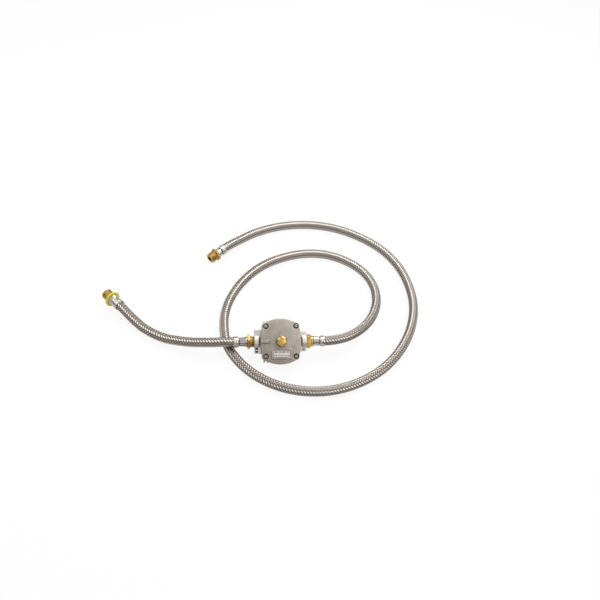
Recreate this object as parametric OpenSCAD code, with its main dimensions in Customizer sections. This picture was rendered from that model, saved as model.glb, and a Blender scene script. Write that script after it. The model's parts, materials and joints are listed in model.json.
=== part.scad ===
// Gas regulator with two braided hoses: a short one on its inlet and a long one on its outlet.
// Millimetres, +Z up. The regulator leans back on its flange and its heel, and its cap faces up and to the
// front. The origin is on the standing surface, under the middle of the regulator.

/* [Casing] */
// Distance between the two port faces
body_length = 95; // [92:1:100]
// Reach of the cover from its centre to the top of its long arc
cover_reach = 41; // [40:0.5:42]
// Half width of the cover at mid height
cover_half_w = 36.6; // [36.2:0.2:37.4]
// Spacing of the four cover screws, the same both ways
screw_pitch = 54.6; // [54:0.1:55]
// Lean of the casing from lying on its back
tilt = 41; // [39:1:44]

/* [Cover] */
// Height of the crown of the cover above the port axis
cover_top = 26; // [25:0.5:27]
// Height of the top of the spring tower above the port axis
tower_top = 40; // [39:0.5:42]
// Radius of the spring tower
tower_r = 9.2; // [9:0.2:10]
// Width across the flats of the seal cap
cap_flats = 17; // [16:0.5:18]
// Diameter of the cover screw heads
screw_head_d = 7.6; // [7.2:0.2:8]

/* [Regulator works] */
// Lift of the valve from open to closed
valve_stroke = 2; // [1.5:0.25:2]
// Diameter of the spring wire
spring_wire = 1.6; // [1.2:0.2:1.8]
// Number of turns of the main spring
spring_turns = 5; // [4:1:6]

/* [Hose and fittings] */
// Outside diameter of the braided hose
hose_d = 18; // [17:0.5:18]
// Outside diameter of the male pipe threads
thread_d = 20.6; // [20:0.2:21]
// Width across the flats of the thin hexagon flanges
flange_flats = 25; // [24:0.5:26]
// Width across the flats of the swivel nut
nut_flats = 23; // [22:0.5:24]
// Largest diameter of the crimped ferrules
ferrule_d = 20.6; // [20:0.2:21]
// Diameter of the plain silver sleeves
sleeve_d = 17; // [16.4:0.2:17.4]
// Outside diameter of the coloured ring on the supply end
ring_d = 30.5; // [29:0.5:31]

/* [Hidden] */
$fn = 72;

// Colours
cast_grey = [0.66, 0.64, 0.61];
cover_grey = [0.60, 0.57, 0.54];
silver = [0.80, 0.79, 0.78];
steel = [0.70, 0.70, 0.70];
brass = [0.80, 0.61, 0.26];
rubber = [0.15, 0.15, 0.16];
braid_grey = [0.64, 0.61, 0.57];
ring_yellow = [0.91, 0.86, 0.22];

// Clearances
fit_gap = 0.05;
face_gap = 0.05;
cut = 0.1;

// Casing, in its own frame: x along the ports, z along the tower, port axis at z = 0
body_half = body_length / 2;
flange_grow = 1;
flange_low = 0;
split_z = 12;
diaphragm_t = 1.2;
cover_low = split_z + diaphragm_t;
top_arc_r = 55;
side_arc_r = 95;
lobe_r = 6.2;
crown_r = 220;
chamber_r = 29;
chamber_low = 8;
cavity_r = 31;
cavity_top = 20;
bowl_low = -6;
heel_depth = 24;
heel_half_x = 17;
inlet_block_half = 22;
outlet_block_half = 18.5;
block_low = -13;
block_top = 11.5;
boss_r = 15.5;
boss_len = 8.5;
passage_r = 6;
thread_r = thread_d / 2;
port_depth = 16;
thread_engaged = 13;
down_hole_x = 21;
down_hole_r = 5;
screw_r = 2.4;
screw_hole_gap = 0.35;
screw_at = screw_pitch / 2;
screw_depth = 14;
pillar_r = lobe_r - 0.5;
pillar_h = 6;
pocket_r = 4.9;
pocket_floor = 18.5;
head_h = 3;
head_chamfer = 0.8;
slot_w = 1.4;
slot_l = screw_head_d * 0.62;
slot_h = 2.6;
slot_turn = 30;
ear_x = -27.2;
ear_half_w = 4.5;
ear_reach = cover_reach - 2.1;
ear_slot_r = 1.8;
ear_slot_y = ear_reach - 1.6;
ear_low = 5;
ear_top = 10;
panel_margin = 1;
panel_w = 6.5;
panel_h = 10.5;
panel_depth = 0.8;

// Height of the port axis: the flange and the heel stand on the same surface
flange_reach = cover_reach + flange_grow;
port_h = flange_reach * sin(tilt) - flange_low * cos(tilt);
heel_y = (port_h - heel_depth * cos(tilt)) / sin(tilt);

// Foot of the spring tower, vent rib and label place
foot_grow = 1;
foot_h = 3;
foot_sunk = 1;
rib_half_w = 2.6;
rib_end_x = -23.6;
rib_start_x = 0.2 - cover_half_w;
rib_top = 27;
label_x = 0.8;
label_y = -22.4;
label_w = 36;
label_h = 17.6;
label_corner_r = 2.5;
label_inner_r = 1;
label_border = 2;
label_top = 25.9;
label_floor = 24.1;
label_t = 0.7;

// Vent: a pocket for its screen, a run along the rib and a drop into the cavity
vent_z = 23.2;
vent_r = 0.8;
vent_pocket_r = 2;
vent_pocket_x = -35.2;
vent_drop_x = -27;
vent_screen_t = 0.6;

// Valve works, along the tower axis
valve_chamber_r = 7.5;
seat_low = 3.05;
seat_r = 6;
seat_flange_r = 8.5;
seat_flange_t = 1.2;
orifice_r = 3;
stem_r = 1.5;
disc_r = 5;
disc_top = seat_low - valve_stroke - 0.05;
disc_t = 2.5;
guide_t = 1.2;
guide_hole_r = 1.8;
guide_hole_at = 4.8;
stem_foot_t = 1.4;
stem_foot_grow = 1.2;
plate_low_r = 13;
plate_up_r = 20;
plate_t = 1.1;
roll_in = 24;
roll_out = 28;
roll_h = 1.2;
nut_t = 2.8;
nut_af = 7;
tower_bore_r = 7.25;
thread_core_r = tower_bore_r - fit_gap;
spring_low = cover_low + face_gap + plate_t + face_gap;
screw_sunk = 10.6;
screw_low = tower_top - screw_sunk;
screw_t = 5;
driver_slot_w = 1.8;
driver_slot_h = 4;
seat_plate_t = 1.3;
spring_high = screw_low - face_gap - seat_plate_t - face_gap;
spring_mean_r = 5.8;
spring_steps = 12;
wire_sides = 6;
spring_seat_r = 6.9;
gasket_t = 0.9;
gasket_grow = 0.6;
cap_low = tower_top + 1;
cap_h = 9.5;
cap_dome_r = 24;
cap_shank = 5;
plug_head_r = 9;
plug_head_t = 2.2;
plug_len = 8;
plug_key_flats = 8;
plug_key_depth = 5;
seal_t = 0.8;
strainer_len = 12;
strainer_wall = 0.8;

// Hose ends: each is measured from the face where the hose leaves its ferrule, towards its fitting
hose_r = hose_d / 2;
ferrule_r = ferrule_d / 2;
ferrule_lip_r = ferrule_r - 1;
ferrule_nose_r = ferrule_r - 1.4;
ferrule_lead = 1.6;
ferrule_taper = 2.2;
sleeve_r = sleeve_d / 2;
collar_rise = 1.2;
collar_r = sleeve_r + collar_rise;
groove_drop = 1.1;
groove_r = sleeve_r - groove_drop;
tail_r = 5.8;
bore_r = 4.5;
nut_r = nut_flats / (2 * cos(30));
nut_chamfer = 1.2;
nut_chamfer_h = 0.8;
neck_r = 10.2;

// Inlet end, screwed into the left port
inlet_ferrule_l = 10;
inlet_groove_l = 1.2;
inlet_sleeve_l = 9.2;
inlet_collar_l = 4.8;
inlet_flange_t = 4.6;
inlet_thread_out = 7.6;
inlet_tail_l = inlet_ferrule_l + inlet_groove_l + inlet_sleeve_l + inlet_collar_l;
inlet_l = inlet_tail_l + inlet_flange_t + inlet_thread_out;

// Outlet end, held by the swivel nut
outlet_ferrule_l = 8;
outlet_groove_l = 2;
outlet_sleeve_l = 8.8;
outlet_collar_l = 1.2;
outlet_tail_l = outlet_ferrule_l + outlet_groove_l + outlet_sleeve_l + outlet_collar_l;
nut_gap = 0.4;
nut_hex_l = 7.6;
nut_neck_l = 4.6;
nut_back_gap = 0.5;
tube_r = tail_r + 0.2;
stub_r = 8;
stub_l = 8.6;
flare_t = 1;
shoulder_gap = 0.1;
outlet_l = outlet_tail_l + nut_back_gap + nut_neck_l + nut_hex_l + nut_gap;

// Appliance end, at the far end of the long hose
appliance_ferrule_l = 10;
appliance_groove_l = 1.5;
appliance_sleeve_l = 5;
appliance_collar_l = 4.5;
appliance_flange_t = 4;
appliance_thread_l = 15;
appliance_tail_l = appliance_ferrule_l + appliance_groove_l + appliance_sleeve_l + appliance_collar_l;
appliance_l = appliance_tail_l + appliance_flange_t + appliance_thread_l;

// Supply end, at the far end of the short hose
supply_ferrule_l = 12;
supply_groove_l = 1;
supply_cone_l = 10;
supply_cone_r = 10.8;
supply_neck_l = 4;
supply_neck_r = groove_r + 0.4;
supply_lip_l = 1.5;
supply_tail_l = supply_ferrule_l + supply_groove_l + supply_cone_l;
ring_t = 4.6;
spigot_r = 9;
supply_thread_l = 17.1;
thread_chamfer = 1;

// Place of the casing: its own reach on each side is centred on the origin
outlet_nut_reach = nut_gap + nut_hex_l + nut_neck_l;
reg_x = -outlet_nut_reach / 2;
reg_front = cover_reach * cos(tilt) + (cover_top - cover_reach * cover_reach / (2 * crown_r)) * sin(tilt);
reg_back = max(heel_y * cos(tilt) + heel_depth * sin(tilt), flange_reach * cos(tilt) + flange_low * sin(tilt));
reg_y = (reg_front - reg_back) / 2;

// Directions of the hose ends, each pointing from the hose to its fitting
appliance_turn = 220;
appliance_droop = 9;
supply_turn = 131;

// Faces where the hoses leave their ferrules
inlet_face = [reg_x - body_half - inlet_l, reg_y, port_h];
outlet_face = [reg_x + body_half + outlet_l, reg_y, port_h];
supply_face = [-305, 114, ring_d / 2];
appliance_face = [-107, 279,
  thread_r * cos(appliance_droop) + appliance_l * sin(appliance_droop)];

// Free runs of the hoses between those faces
short_points = [[-110, 7, 28], [-128, 8, 26], [-145, 11, 23], [-161, 15, 19], [-178, 20, 15.5],
  [-195, 26, 12.5], [-212, 32, 10.5], [-228, 40, 9.5], [-243, 50, 9], [-257, 61, 9], [-269, 73, 10],
  [-281, 86, 11.5], [-293, 100, 13.5]];
long_points = [[98, 10, 27], [121, 19, 25], [144, 36, 21.5], [166, 61, 17], [184, 93, 13],
  [195, 131, 10.5], [195, 173, 9], [179, 215, 9], [146, 249, 9], [106, 268, 9], [63, 271, 9],
  [20, 260, 9], [-23, 237, 9], [-61, 199, 9], [-90, 151, 9], [-106, 100, 9], [-108, 53, 9],
  [-103, 18, 9], [-89, -13, 9], [-64, -46, 9], [-31, -72, 9], [5, -88, 9], [45, -95, 9], [87, -92, 9],
  [132, -77, 9], [180, -46, 9], [222, 1, 9], [252, 57, 9], [268, 116, 9], [269, 174, 9], [258, 230, 9],
  [232, 282, 9], [190, 325, 9], [136, 356, 9], [77, 368, 9], [16, 362, 9], [-37, 340, 10],
  [-72, 313, 12.5]];
hose_sides = 12;

// ---- Sweeping a tube along points ----

function unit(v) = v / norm(v);
function axis_of(turn, droop) = [cos(droop) * cos(turn), cos(droop) * sin(turn), -sin(droop)];
function heading(route, i, first, last) =
  i == 0 ? first
  : i == len(route) - 1 ? last
  : unit(unit(route[i + 1] - route[i]) + unit(route[i] - route[i - 1]));
function ring_at(p, dir, r, sides) =
  let (side = unit(cross(dir, [0, 0, 1])), up = cross(side, dir))
  [for (k = [0 : sides - 1]) p + r * (cos(360 * k / sides) * side + sin(360 * k / sides) * up)];

module tube(rings, sides) {
  last = len(rings) - 1;
  points = [for (one = rings) each one];
  walls = [for (i = [0 : last - 1], k = [0 : sides - 1])
    let (a = i * sides + k, b = i * sides + (k + 1) % sides)
    each [[a, b, b + sides], [a, b + sides, a + sides]]];
  start_cap = [for (k = [1 : sides - 2]) [0, k + 1, k]];
  end_cap = [for (k = [1 : sides - 2]) [last * sides, last * sides + k, last * sides + k + 1]];
  polyhedron(points = points, faces = concat(walls, start_cap, end_cap));
}

module hose(route, first, last) {
  tube([for (i = [0 : len(route) - 1])
    ring_at(route[i], heading(route, i, first, last), hose_r, hose_sides)], hose_sides);
}

// ---- Frames ----

module on_regulator() {
  translate([reg_x, reg_y, port_h]) rotate([tilt, 0, 0]) children();
}

module at_end(face, turn, droop) {
  translate(face) rotate([0, 90 + droop, turn]) children();
}

module at_inlet() {
  at_end(inlet_face, 0, 0) children();
}

module at_outlet() {
  at_end(outlet_face, 180, 0) children();
}

module at_supply() {
  at_end(supply_face, supply_turn, 0) children();
}

module at_appliance() {
  at_end(appliance_face, appliance_turn, appliance_droop) children();
}

module at_screws() {
  for (x = [-screw_at, screw_at], y = [-screw_at, screw_at]) translate([x, y, 0]) children();
}

// ---- Shared shapes ----

module along_x(x0, x1, r) {
  translate([x0, 0, 0]) rotate([0, 90, 0]) cylinder(r = r, h = x1 - x0);
}

module hexagon(flats, h) {
  cylinder(r = flats / (2 * cos(30)), h = h, $fn = 6);
}

// Outline shared by cover, diaphragm and flange: four arcs and a lobe round each screw
module outline(grow) {
  intersection() {
    translate([0, cover_reach - top_arc_r]) circle(r = top_arc_r + grow);
    translate([0, top_arc_r - cover_reach]) circle(r = top_arc_r + grow);
    translate([cover_half_w - side_arc_r, 0]) circle(r = side_arc_r + grow);
    translate([side_arc_r - cover_half_w, 0]) circle(r = side_arc_r + grow);
  }
  for (x = [-screw_at, screw_at], y = [-screw_at, screw_at]) translate([x, y]) circle(r = lobe_r + grow);
}

module rounded_plate(w, h, r, t) {
  linear_extrude(t) {
    square([w - 2 * r, h], center = true);
    square([w, h - 2 * r], center = true);
    for (x = [-1, 1], y = [-1, 1]) translate([x * (w / 2 - r), y * (h / 2 - r)]) circle(r = r);
  }
}

module ferrule(length) {
  rotate_extrude() polygon([[tail_r + fit_gap, 0], [ferrule_lip_r, 0], [ferrule_r, ferrule_lead],
    [ferrule_r, length - ferrule_taper], [ferrule_nose_r, length], [tail_r + fit_gap, length]]);
}

module nipple(ferrule_l, groove_l, sleeve_l, collar_l) {
  groove_end = ferrule_l + groove_l;
  sleeve_end = groove_end + sleeve_l;
  collar_end = sleeve_end + collar_l;
  rotate_extrude() polygon([[bore_r, 0], [tail_r, 0], [tail_r, ferrule_l], [groove_r, ferrule_l],
    [groove_r, groove_end], [sleeve_r, groove_end], [sleeve_r, sleeve_end], [collar_r, sleeve_end],
    [collar_r, collar_end], [bore_r, collar_end]]);
}

// Male pipe thread as a plain wall with a chamfered tip
module male_thread(length) {
  cylinder(r = thread_r, h = length - thread_chamfer);
  translate([0, 0, length - thread_chamfer])
    cylinder(r1 = thread_r, r2 = thread_r - thread_chamfer, h = thread_chamfer);
}

// ---- Casing ----

module port_block(side, half) {
  x0 = side < 0 ? -body_half : 0;
  translate([x0, -half, block_low]) cube([body_half, 2 * half, block_top - block_low]);
  x1 = side < 0 ? -body_half : body_half - boss_len;
  along_x(x1, x1 + boss_len, boss_r);
}

module ear(side) {
  translate([ear_x - ear_half_w, side > 0 ? 0 : -ear_reach, ear_low])
    cube([2 * ear_half_w, ear_reach, ear_top - ear_low]);
}

// Slot of an ear: round inside, open outwards
module ear_slot(side) {
  slot_h = ear_top - ear_low + 2 * cut;
  translate([ear_x, side * ear_slot_y, ear_low - cut]) {
    cylinder(r = ear_slot_r, h = slot_h);
    translate([-ear_slot_r, side > 0 ? 0 : -ear_slot_r, 0]) cube([2 * ear_slot_r, ear_slot_r, slot_h]);
  }
}

module body_solid() {
  translate([0, 0, flange_low]) linear_extrude(split_z - flange_low) outline(flange_grow);
  translate([0, 0, bowl_low]) cylinder(r1 = chamber_r, r2 = cover_half_w, h = flange_low - bowl_low);
  translate([-heel_half_x, -heel_y, -heel_depth]) cube([2 * heel_half_x, 2 * heel_y, heel_depth]);
  port_block(-1, inlet_block_half);
  port_block(1, outlet_block_half);
  at_screws() translate([0, 0, flange_low - pillar_h]) cylinder(r = pillar_r, h = pillar_h);
  ear(1);
  ear(-1);
}

module port_bore(side) {
  mirror([side < 0 ? 1 : 0, 0, 0]) along_x(body_half - port_depth, body_half + cut, thread_r + fit_gap);
}

module body_hollows() {
  translate([0, 0, chamber_low]) cylinder(r = chamber_r, h = split_z - chamber_low + cut);
  port_bore(-1);
  port_bore(1);
  along_x(port_depth - body_half - cut, -passage_r, passage_r);
  along_x(down_hole_x - down_hole_r, body_half - port_depth + cut, passage_r);
  translate([down_hole_x, 0, 0]) cylinder(r = down_hole_r, h = chamber_low + cut);
  translate([0, 0, -heel_depth - cut]) cylinder(r = valve_chamber_r, h = heel_depth + seat_low + cut);
  cylinder(r = seat_r, h = chamber_low + cut);
  at_screws() translate([0, 0, split_z - screw_depth]) cylinder(r = screw_r + fit_gap, h = screw_depth + cut);
  ear_slot(1);
  ear_slot(-1);
  // Shallow panel on the inlet block
  translate([panel_margin - body_half, panel_margin - inlet_block_half, block_top - panel_depth])
    cube([panel_w, panel_h, panel_depth + cut]);
}

module regulator_body() {
  color(cast_grey) on_regulator() difference() {
    body_solid();
    body_hollows();
    // The cover and diaphragm stand on the flat above the flange
    translate([0, 0, split_z]) linear_extrude(boss_r) outline(flange_grow);
  }
}

module cover_solid() {
  intersection() {
    translate([0, 0, cover_low]) linear_extrude(cover_top - cover_low) outline(0);
    translate([0, 0, cover_top - crown_r]) sphere(r = crown_r, $fn = 240);
  }
  translate([0, 0, cavity_top]) cylinder(r = tower_r, h = tower_top - cavity_top);
  translate([0, 0, cover_top - foot_sunk]) cylinder(r1 = tower_r + foot_grow, r2 = tower_r, h = foot_h);
  // Vent rib
  translate([rib_start_x, -rib_half_w, cavity_top])
    cube([rib_end_x - rib_start_x, 2 * rib_half_w, rib_top - cavity_top]);
  translate([rib_end_x, 0, cavity_top]) cylinder(r = rib_half_w, h = rib_top - cavity_top);
  // Frame of the label
  translate([label_x, label_y, cavity_top])
    rounded_plate(label_w, label_h, label_corner_r, label_top - cavity_top);
}

module cover_hollows() {
  translate([0, 0, cover_low - cut]) cylinder(r = cavity_r, h = cavity_top - cover_low + cut);
  cylinder(r = tower_bore_r, h = tower_top + cut);
  at_screws() translate([0, 0, pocket_floor]) cylinder(r = pocket_r, h = cover_top);
  at_screws() cylinder(r = screw_r + screw_hole_gap, h = cover_top);
  translate([label_x, label_y, label_floor])
    rounded_plate(label_w - 2 * label_border, label_h - 2 * label_border, label_inner_r, cover_top);
  translate([0, 0, vent_z]) along_x(-cover_half_w - cut, vent_pocket_x, vent_pocket_r);
  translate([0, 0, vent_z]) along_x(-cover_half_w, vent_drop_x, vent_r);
  translate([vent_drop_x, 0, cavity_top - cut]) cylinder(r = vent_r, h = vent_z - cavity_top + cut);
}

module regulator_cover() {
  color(cover_grey) on_regulator() difference() {
    cover_solid();
    cover_hollows();
  }
}

module cover_screws() {
  head_r = screw_head_d / 2;
  shoulder = pocket_floor + head_h - head_chamfer;
  tip = split_z - screw_depth + 1;
  color(brass) on_regulator() at_screws() difference() {
    union() {
      translate([0, 0, pocket_floor]) cylinder(r = head_r, h = head_h - head_chamfer);
      translate([0, 0, shoulder]) cylinder(r1 = head_r, r2 = head_r - head_chamfer, h = head_chamfer);
      translate([0, 0, tip]) cylinder(r = screw_r, h = pocket_floor - tip);
    }
    for (turn = [slot_turn, slot_turn + 90]) translate([0, 0, pocket_floor + head_h]) rotate(turn)
      cube([slot_l, slot_w, slot_h], center = true);
  }
}

module label_plate() {
  inner_w = label_w - 2 * label_border - 2 * fit_gap;
  inner_h = label_h - 2 * label_border - 2 * fit_gap;
  color(silver) on_regulator() translate([label_x, label_y, label_floor])
    rounded_plate(inner_w, inner_h, label_inner_r, label_t);
}

module vent_screen() {
  color(steel) on_regulator() translate([0, 0, vent_z])
    along_x(vent_pocket_x - vent_screen_t, vent_pocket_x, vent_pocket_r - fit_gap);
}

module diaphragm() {
  color(rubber) on_regulator() difference() {
    union() {
      translate([0, 0, split_z]) linear_extrude(diaphragm_t) outline(0);
      translate([0, 0, cover_low]) cylinder(r = roll_out, h = roll_h);
    }
    translate([0, 0, cover_low]) cylinder(r = roll_in, h = roll_h + cut);
    at_screws() cylinder(r = screw_r + screw_hole_gap, h = cover_top);
    cylinder(r = stem_r + fit_gap, h = cover_top);
  }
}

module valve_seat() {
  color(brass) on_regulator() difference() {
    union() {
      translate([0, 0, seat_low]) cylinder(r = seat_r - fit_gap, h = chamber_low - seat_low);
      translate([0, 0, chamber_low]) cylinder(r = seat_flange_r, h = seat_flange_t);
    }
    cylinder(r = orifice_r, h = cover_top);
  }
}

module stem_guide() {
  guide_low = chamber_low + seat_flange_t;
  color(steel) on_regulator() difference() {
    translate([0, 0, guide_low]) cylinder(r = seat_flange_r, h = guide_t);
    cylinder(r = stem_r + fit_gap, h = cover_top);
    for (turn = [0 : 120 : 240]) rotate(turn) translate([guide_hole_at, 0, 0])
      cylinder(r = guide_hole_r, h = cover_top);
  }
}

module bottom_plug() {
  color(brass) on_regulator() difference() {
    union() {
      translate([0, 0, -heel_depth - seal_t - plug_head_t]) cylinder(r = plug_head_r, h = plug_head_t);
      translate([0, 0, -heel_depth - seal_t]) cylinder(r = valve_chamber_r - fit_gap, h = plug_len);
    }
    translate([0, 0, -heel_depth - seal_t - plug_head_t - cut]) hexagon(plug_key_flats, plug_key_depth);
  }
}

module bottom_plug_seal() {
  color(rubber) on_regulator() difference() {
    translate([0, 0, -heel_depth - seal_t]) cylinder(r = plug_head_r - 0.4, h = seal_t);
    translate([0, 0, -heel_depth - seal_t - cut]) cylinder(r = valve_chamber_r, h = seal_t + 2 * cut);
  }
}

module inlet_strainer() {
  flange_x = port_depth - body_half;
  cup_r = passage_r - 4 * fit_gap;
  color(steel) on_regulator() difference() {
    union() {
      along_x(flange_x - 1, flange_x, thread_r - strainer_wall);
      along_x(flange_x, flange_x + strainer_len, cup_r);
    }
    along_x(flange_x - 2, flange_x + strainer_len - strainer_wall, cup_r - strainer_wall);
  }
}

// ---- Valve train: lifts along the tower axis ----

module diaphragm_plates() {
  color(steel) on_regulator() difference() {
    union() {
      translate([0, 0, split_z - face_gap - plate_t]) cylinder(r = plate_low_r, h = plate_t);
      translate([0, 0, cover_low + face_gap]) cylinder(r = plate_up_r, h = plate_t);
    }
    cylinder(r = stem_r, h = cover_top);
  }
}

module valve_stem() {
  stem_low = disc_top - disc_t - stem_foot_t;
  stem_top = spring_low + nut_t + 1;
  color(steel) on_regulator() {
    translate([0, 0, stem_low]) cylinder(r = stem_r, h = stem_top - stem_low);
    translate([0, 0, stem_low]) cylinder(r = stem_r + stem_foot_grow, h = stem_foot_t);
  }
}

module stem_nut() {
  color(steel) on_regulator() difference() {
    translate([0, 0, spring_low - face_gap]) hexagon(nut_af, nut_t);
    cylinder(r = stem_r, h = cover_top);
  }
}

module valve_disc() {
  color(rubber) on_regulator() difference() {
    translate([0, 0, disc_top - disc_t]) cylinder(r = disc_r, h = disc_t);
    translate([0, 0, disc_top - disc_t - cut]) cylinder(r = stem_r, h = disc_t + 2 * cut);
  }
}

// ---- Spring tower ----

module main_spring() {
  wire_r = spring_wire / 2;
  last = spring_turns * spring_steps;
  climb = (spring_high - spring_low - spring_wire) / last;
  slope = climb * spring_steps / (2 * PI * spring_mean_r);
  color(steel) on_regulator() tube([for (i = [0 : last])
    let (turn = 360 * i / spring_steps)
    ring_at([spring_mean_r * cos(turn), spring_mean_r * sin(turn), spring_low + wire_r + climb * i],
      unit([-sin(turn), cos(turn), slope]), wire_r, wire_sides)], wire_sides);
}

module spring_seat() {
  color(steel) on_regulator() translate([0, 0, spring_high + face_gap])
    cylinder(r = spring_seat_r, h = seat_plate_t);
}

module adjusting_screw() {
  color(brass) on_regulator() difference() {
    translate([0, 0, screw_low]) cylinder(r = thread_core_r, h = screw_t);
    translate([0, 0, screw_low + screw_t])
      cube([2 * tower_bore_r, driver_slot_w, driver_slot_h], center = true);
  }
}

module cap_gasket() {
  color(rubber) on_regulator() difference() {
    translate([0, 0, tower_top + face_gap]) cylinder(r = cap_flats / 2 + gasket_grow, h = gasket_t);
    translate([0, 0, tower_top]) cylinder(r = tower_bore_r + fit_gap, h = 2 * gasket_t);
  }
}

module seal_cap() {
  color(brass) on_regulator() {
    intersection() {
      translate([0, 0, cap_low]) rotate(30) hexagon(cap_flats, cap_h);
      translate([0, 0, cap_low + cap_h - cap_dome_r]) sphere(r = cap_dome_r, $fn = 120);
    }
    translate([0, 0, cap_low - cap_shank]) cylinder(r = thread_core_r, h = cap_shank);
  }
}

// ---- Inlet end ----

module inlet_fitting() {
  color(brass) at_inlet() difference() {
    union() {
      translate([0, 0, inlet_tail_l]) rotate(30) hexagon(flange_flats, inlet_flange_t);
      translate([0, 0, inlet_tail_l + 1]) male_thread(inlet_flange_t + inlet_thread_out + thread_engaged - 1);
    }
    translate([0, 0, inlet_tail_l - cut]) cylinder(r = bore_r, h = inlet_l);
  }
}

module inlet_nipple() {
  color(silver) at_inlet() nipple(inlet_ferrule_l, inlet_groove_l, inlet_sleeve_l, inlet_collar_l);
}

module inlet_ferrule() {
  color(silver) at_inlet() ferrule(inlet_ferrule_l);
}

module short_hose() {
  color(braid_grey) hose(concat([inlet_face], short_points, [supply_face]),
    axis_of(180, 0), axis_of(supply_turn, 0));
}

// ---- Supply end ----

module supply_ferrule() {
  color(silver) at_supply() ferrule(supply_ferrule_l);
}

module supply_nipple() {
  groove_end = supply_ferrule_l + supply_groove_l;
  color(silver) at_supply() rotate_extrude() polygon([[bore_r, 0], [tail_r, 0], [tail_r, supply_ferrule_l],
    [groove_r, supply_ferrule_l], [groove_r, groove_end], [supply_neck_r, groove_end + supply_neck_l],
    [supply_cone_r, supply_tail_l - supply_lip_l], [supply_cone_r, supply_tail_l], [bore_r, supply_tail_l]]);
}

module supply_ring() {
  color(ring_yellow) at_supply() difference() {
    translate([0, 0, supply_tail_l]) cylinder(r = ring_d / 2, h = ring_t);
    translate([0, 0, supply_tail_l - cut]) cylinder(r = spigot_r + fit_gap, h = ring_t + 2 * cut);
  }
}

module supply_fitting() {
  color(brass) at_supply() difference() {
    union() {
      translate([0, 0, supply_tail_l]) cylinder(r = spigot_r, h = ring_t);
      translate([0, 0, supply_tail_l + ring_t]) male_thread(supply_thread_l);
    }
    translate([0, 0, supply_tail_l - cut]) cylinder(r = passage_r, h = ring_t + supply_thread_l + 2 * cut);
  }
}

// ---- Outlet end ----

module outlet_adapter() {
  port = outlet_l;
  color(brass) at_outlet() difference() {
    union() {
      translate([0, 0, port - stub_l]) cylinder(r = stub_r, h = stub_l);
      translate([0, 0, port]) male_thread(thread_engaged);
    }
    translate([0, 0, port - stub_l - cut]) cylinder(r = bore_r, h = stub_l + thread_engaged + 2 * cut);
  }
}

module outlet_nut() {
  neck_low = outlet_tail_l + nut_back_gap;
  hex_low = neck_low + nut_neck_l;
  nut_top = hex_low + nut_hex_l;
  shoulder = outlet_l - stub_l - flare_t - shoulder_gap;
  color(brass) at_outlet() difference() {
    union() {
      translate([0, 0, neck_low]) cylinder(r = neck_r, h = nut_neck_l);
      intersection() {
        translate([0, 0, hex_low]) hexagon(nut_flats, nut_hex_l);
        translate([0, 0, hex_low]) rotate_extrude() polygon([[0, 0], [nut_r - nut_chamfer, 0],
          [nut_r, nut_chamfer_h], [nut_r, nut_hex_l - nut_chamfer_h], [nut_r - nut_chamfer, nut_hex_l],
          [0, nut_hex_l]]);
      }
    }
    translate([0, 0, shoulder]) cylinder(r = stub_r + fit_gap, h = nut_top - shoulder + cut);
    translate([0, 0, neck_low - cut]) cylinder(r = tube_r + fit_gap, h = shoulder - neck_low + 2 * cut);
  }
}

module outlet_nipple() {
  tube_top = outlet_l - stub_l;
  color(silver) at_outlet() {
    nipple(outlet_ferrule_l, outlet_groove_l, outlet_sleeve_l, outlet_collar_l);
    difference() {
      union() {
        translate([0, 0, outlet_tail_l]) cylinder(r = tube_r, h = tube_top - outlet_tail_l);
        translate([0, 0, tube_top - flare_t]) cylinder(r = stub_r - fit_gap, h = flare_t);
      }
      translate([0, 0, outlet_tail_l - cut]) cylinder(r = bore_r, h = tube_top);
    }
  }
}

module outlet_ferrule() {
  color(silver) at_outlet() ferrule(outlet_ferrule_l);
}

module long_hose() {
  color(braid_grey) hose(concat([outlet_face], long_points, [appliance_face]),
    axis_of(0, 0), axis_of(appliance_turn, appliance_droop));
}

// ---- Appliance end ----

module appliance_ferrule() {
  color(silver) at_appliance() ferrule(appliance_ferrule_l);
}

module appliance_nipple() {
  color(silver) at_appliance()
    nipple(appliance_ferrule_l, appliance_groove_l, appliance_sleeve_l, appliance_collar_l);
}

module appliance_fitting() {
  color(brass) at_appliance() difference() {
    union() {
      translate([0, 0, appliance_tail_l]) rotate(30) hexagon(flange_flats, appliance_flange_t);
      translate([0, 0, appliance_tail_l + 1]) male_thread(appliance_flange_t + appliance_thread_l - 1);
    }
    translate([0, 0, appliance_tail_l - cut])
      cylinder(r = passage_r, h = appliance_flange_t + appliance_thread_l + 2 * cut);
  }
}

regulator_body();
regulator_cover();
cover_screws();
label_plate();
vent_screen();
diaphragm();
stem_guide();
valve_seat();
bottom_plug();
bottom_plug_seal();
inlet_strainer();
diaphragm_plates();
valve_stem();
stem_nut();
valve_disc();
main_spring();
spring_seat();
adjusting_screw();
cap_gasket();
seal_cap();
inlet_fitting();
inlet_nipple();
inlet_ferrule();
short_hose();
supply_ferrule();
supply_nipple();
supply_ring();
supply_fitting();
outlet_adapter();
outlet_nut();
outlet_nipple();
outlet_ferrule();
long_hose();
appliance_ferrule();
appliance_nipple();
appliance_fitting();
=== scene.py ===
# %% [markdown]
# # A gas regulator and its two braided hoses
#
# The object is a low-pressure gas regulator, cast in aluminium, with a short steel-braided hose on its inlet
# and a long one on its outlet. Each hose ends in crimped steel ferrules and brass pipe fittings. The solids
# that carry and join everything are already packed, so this lesson only dresses them: it gives each solid a
# finish, and puts a more detailed piece over those whose real shape is finer than a solid can be.
#
# Lengths are written in millimetres and multiplied by MM, because Blender's scene is in metres.

import json
import math

import bmesh
import bpy
import numpy as np
from mathutils import Matrix, Vector


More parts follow.
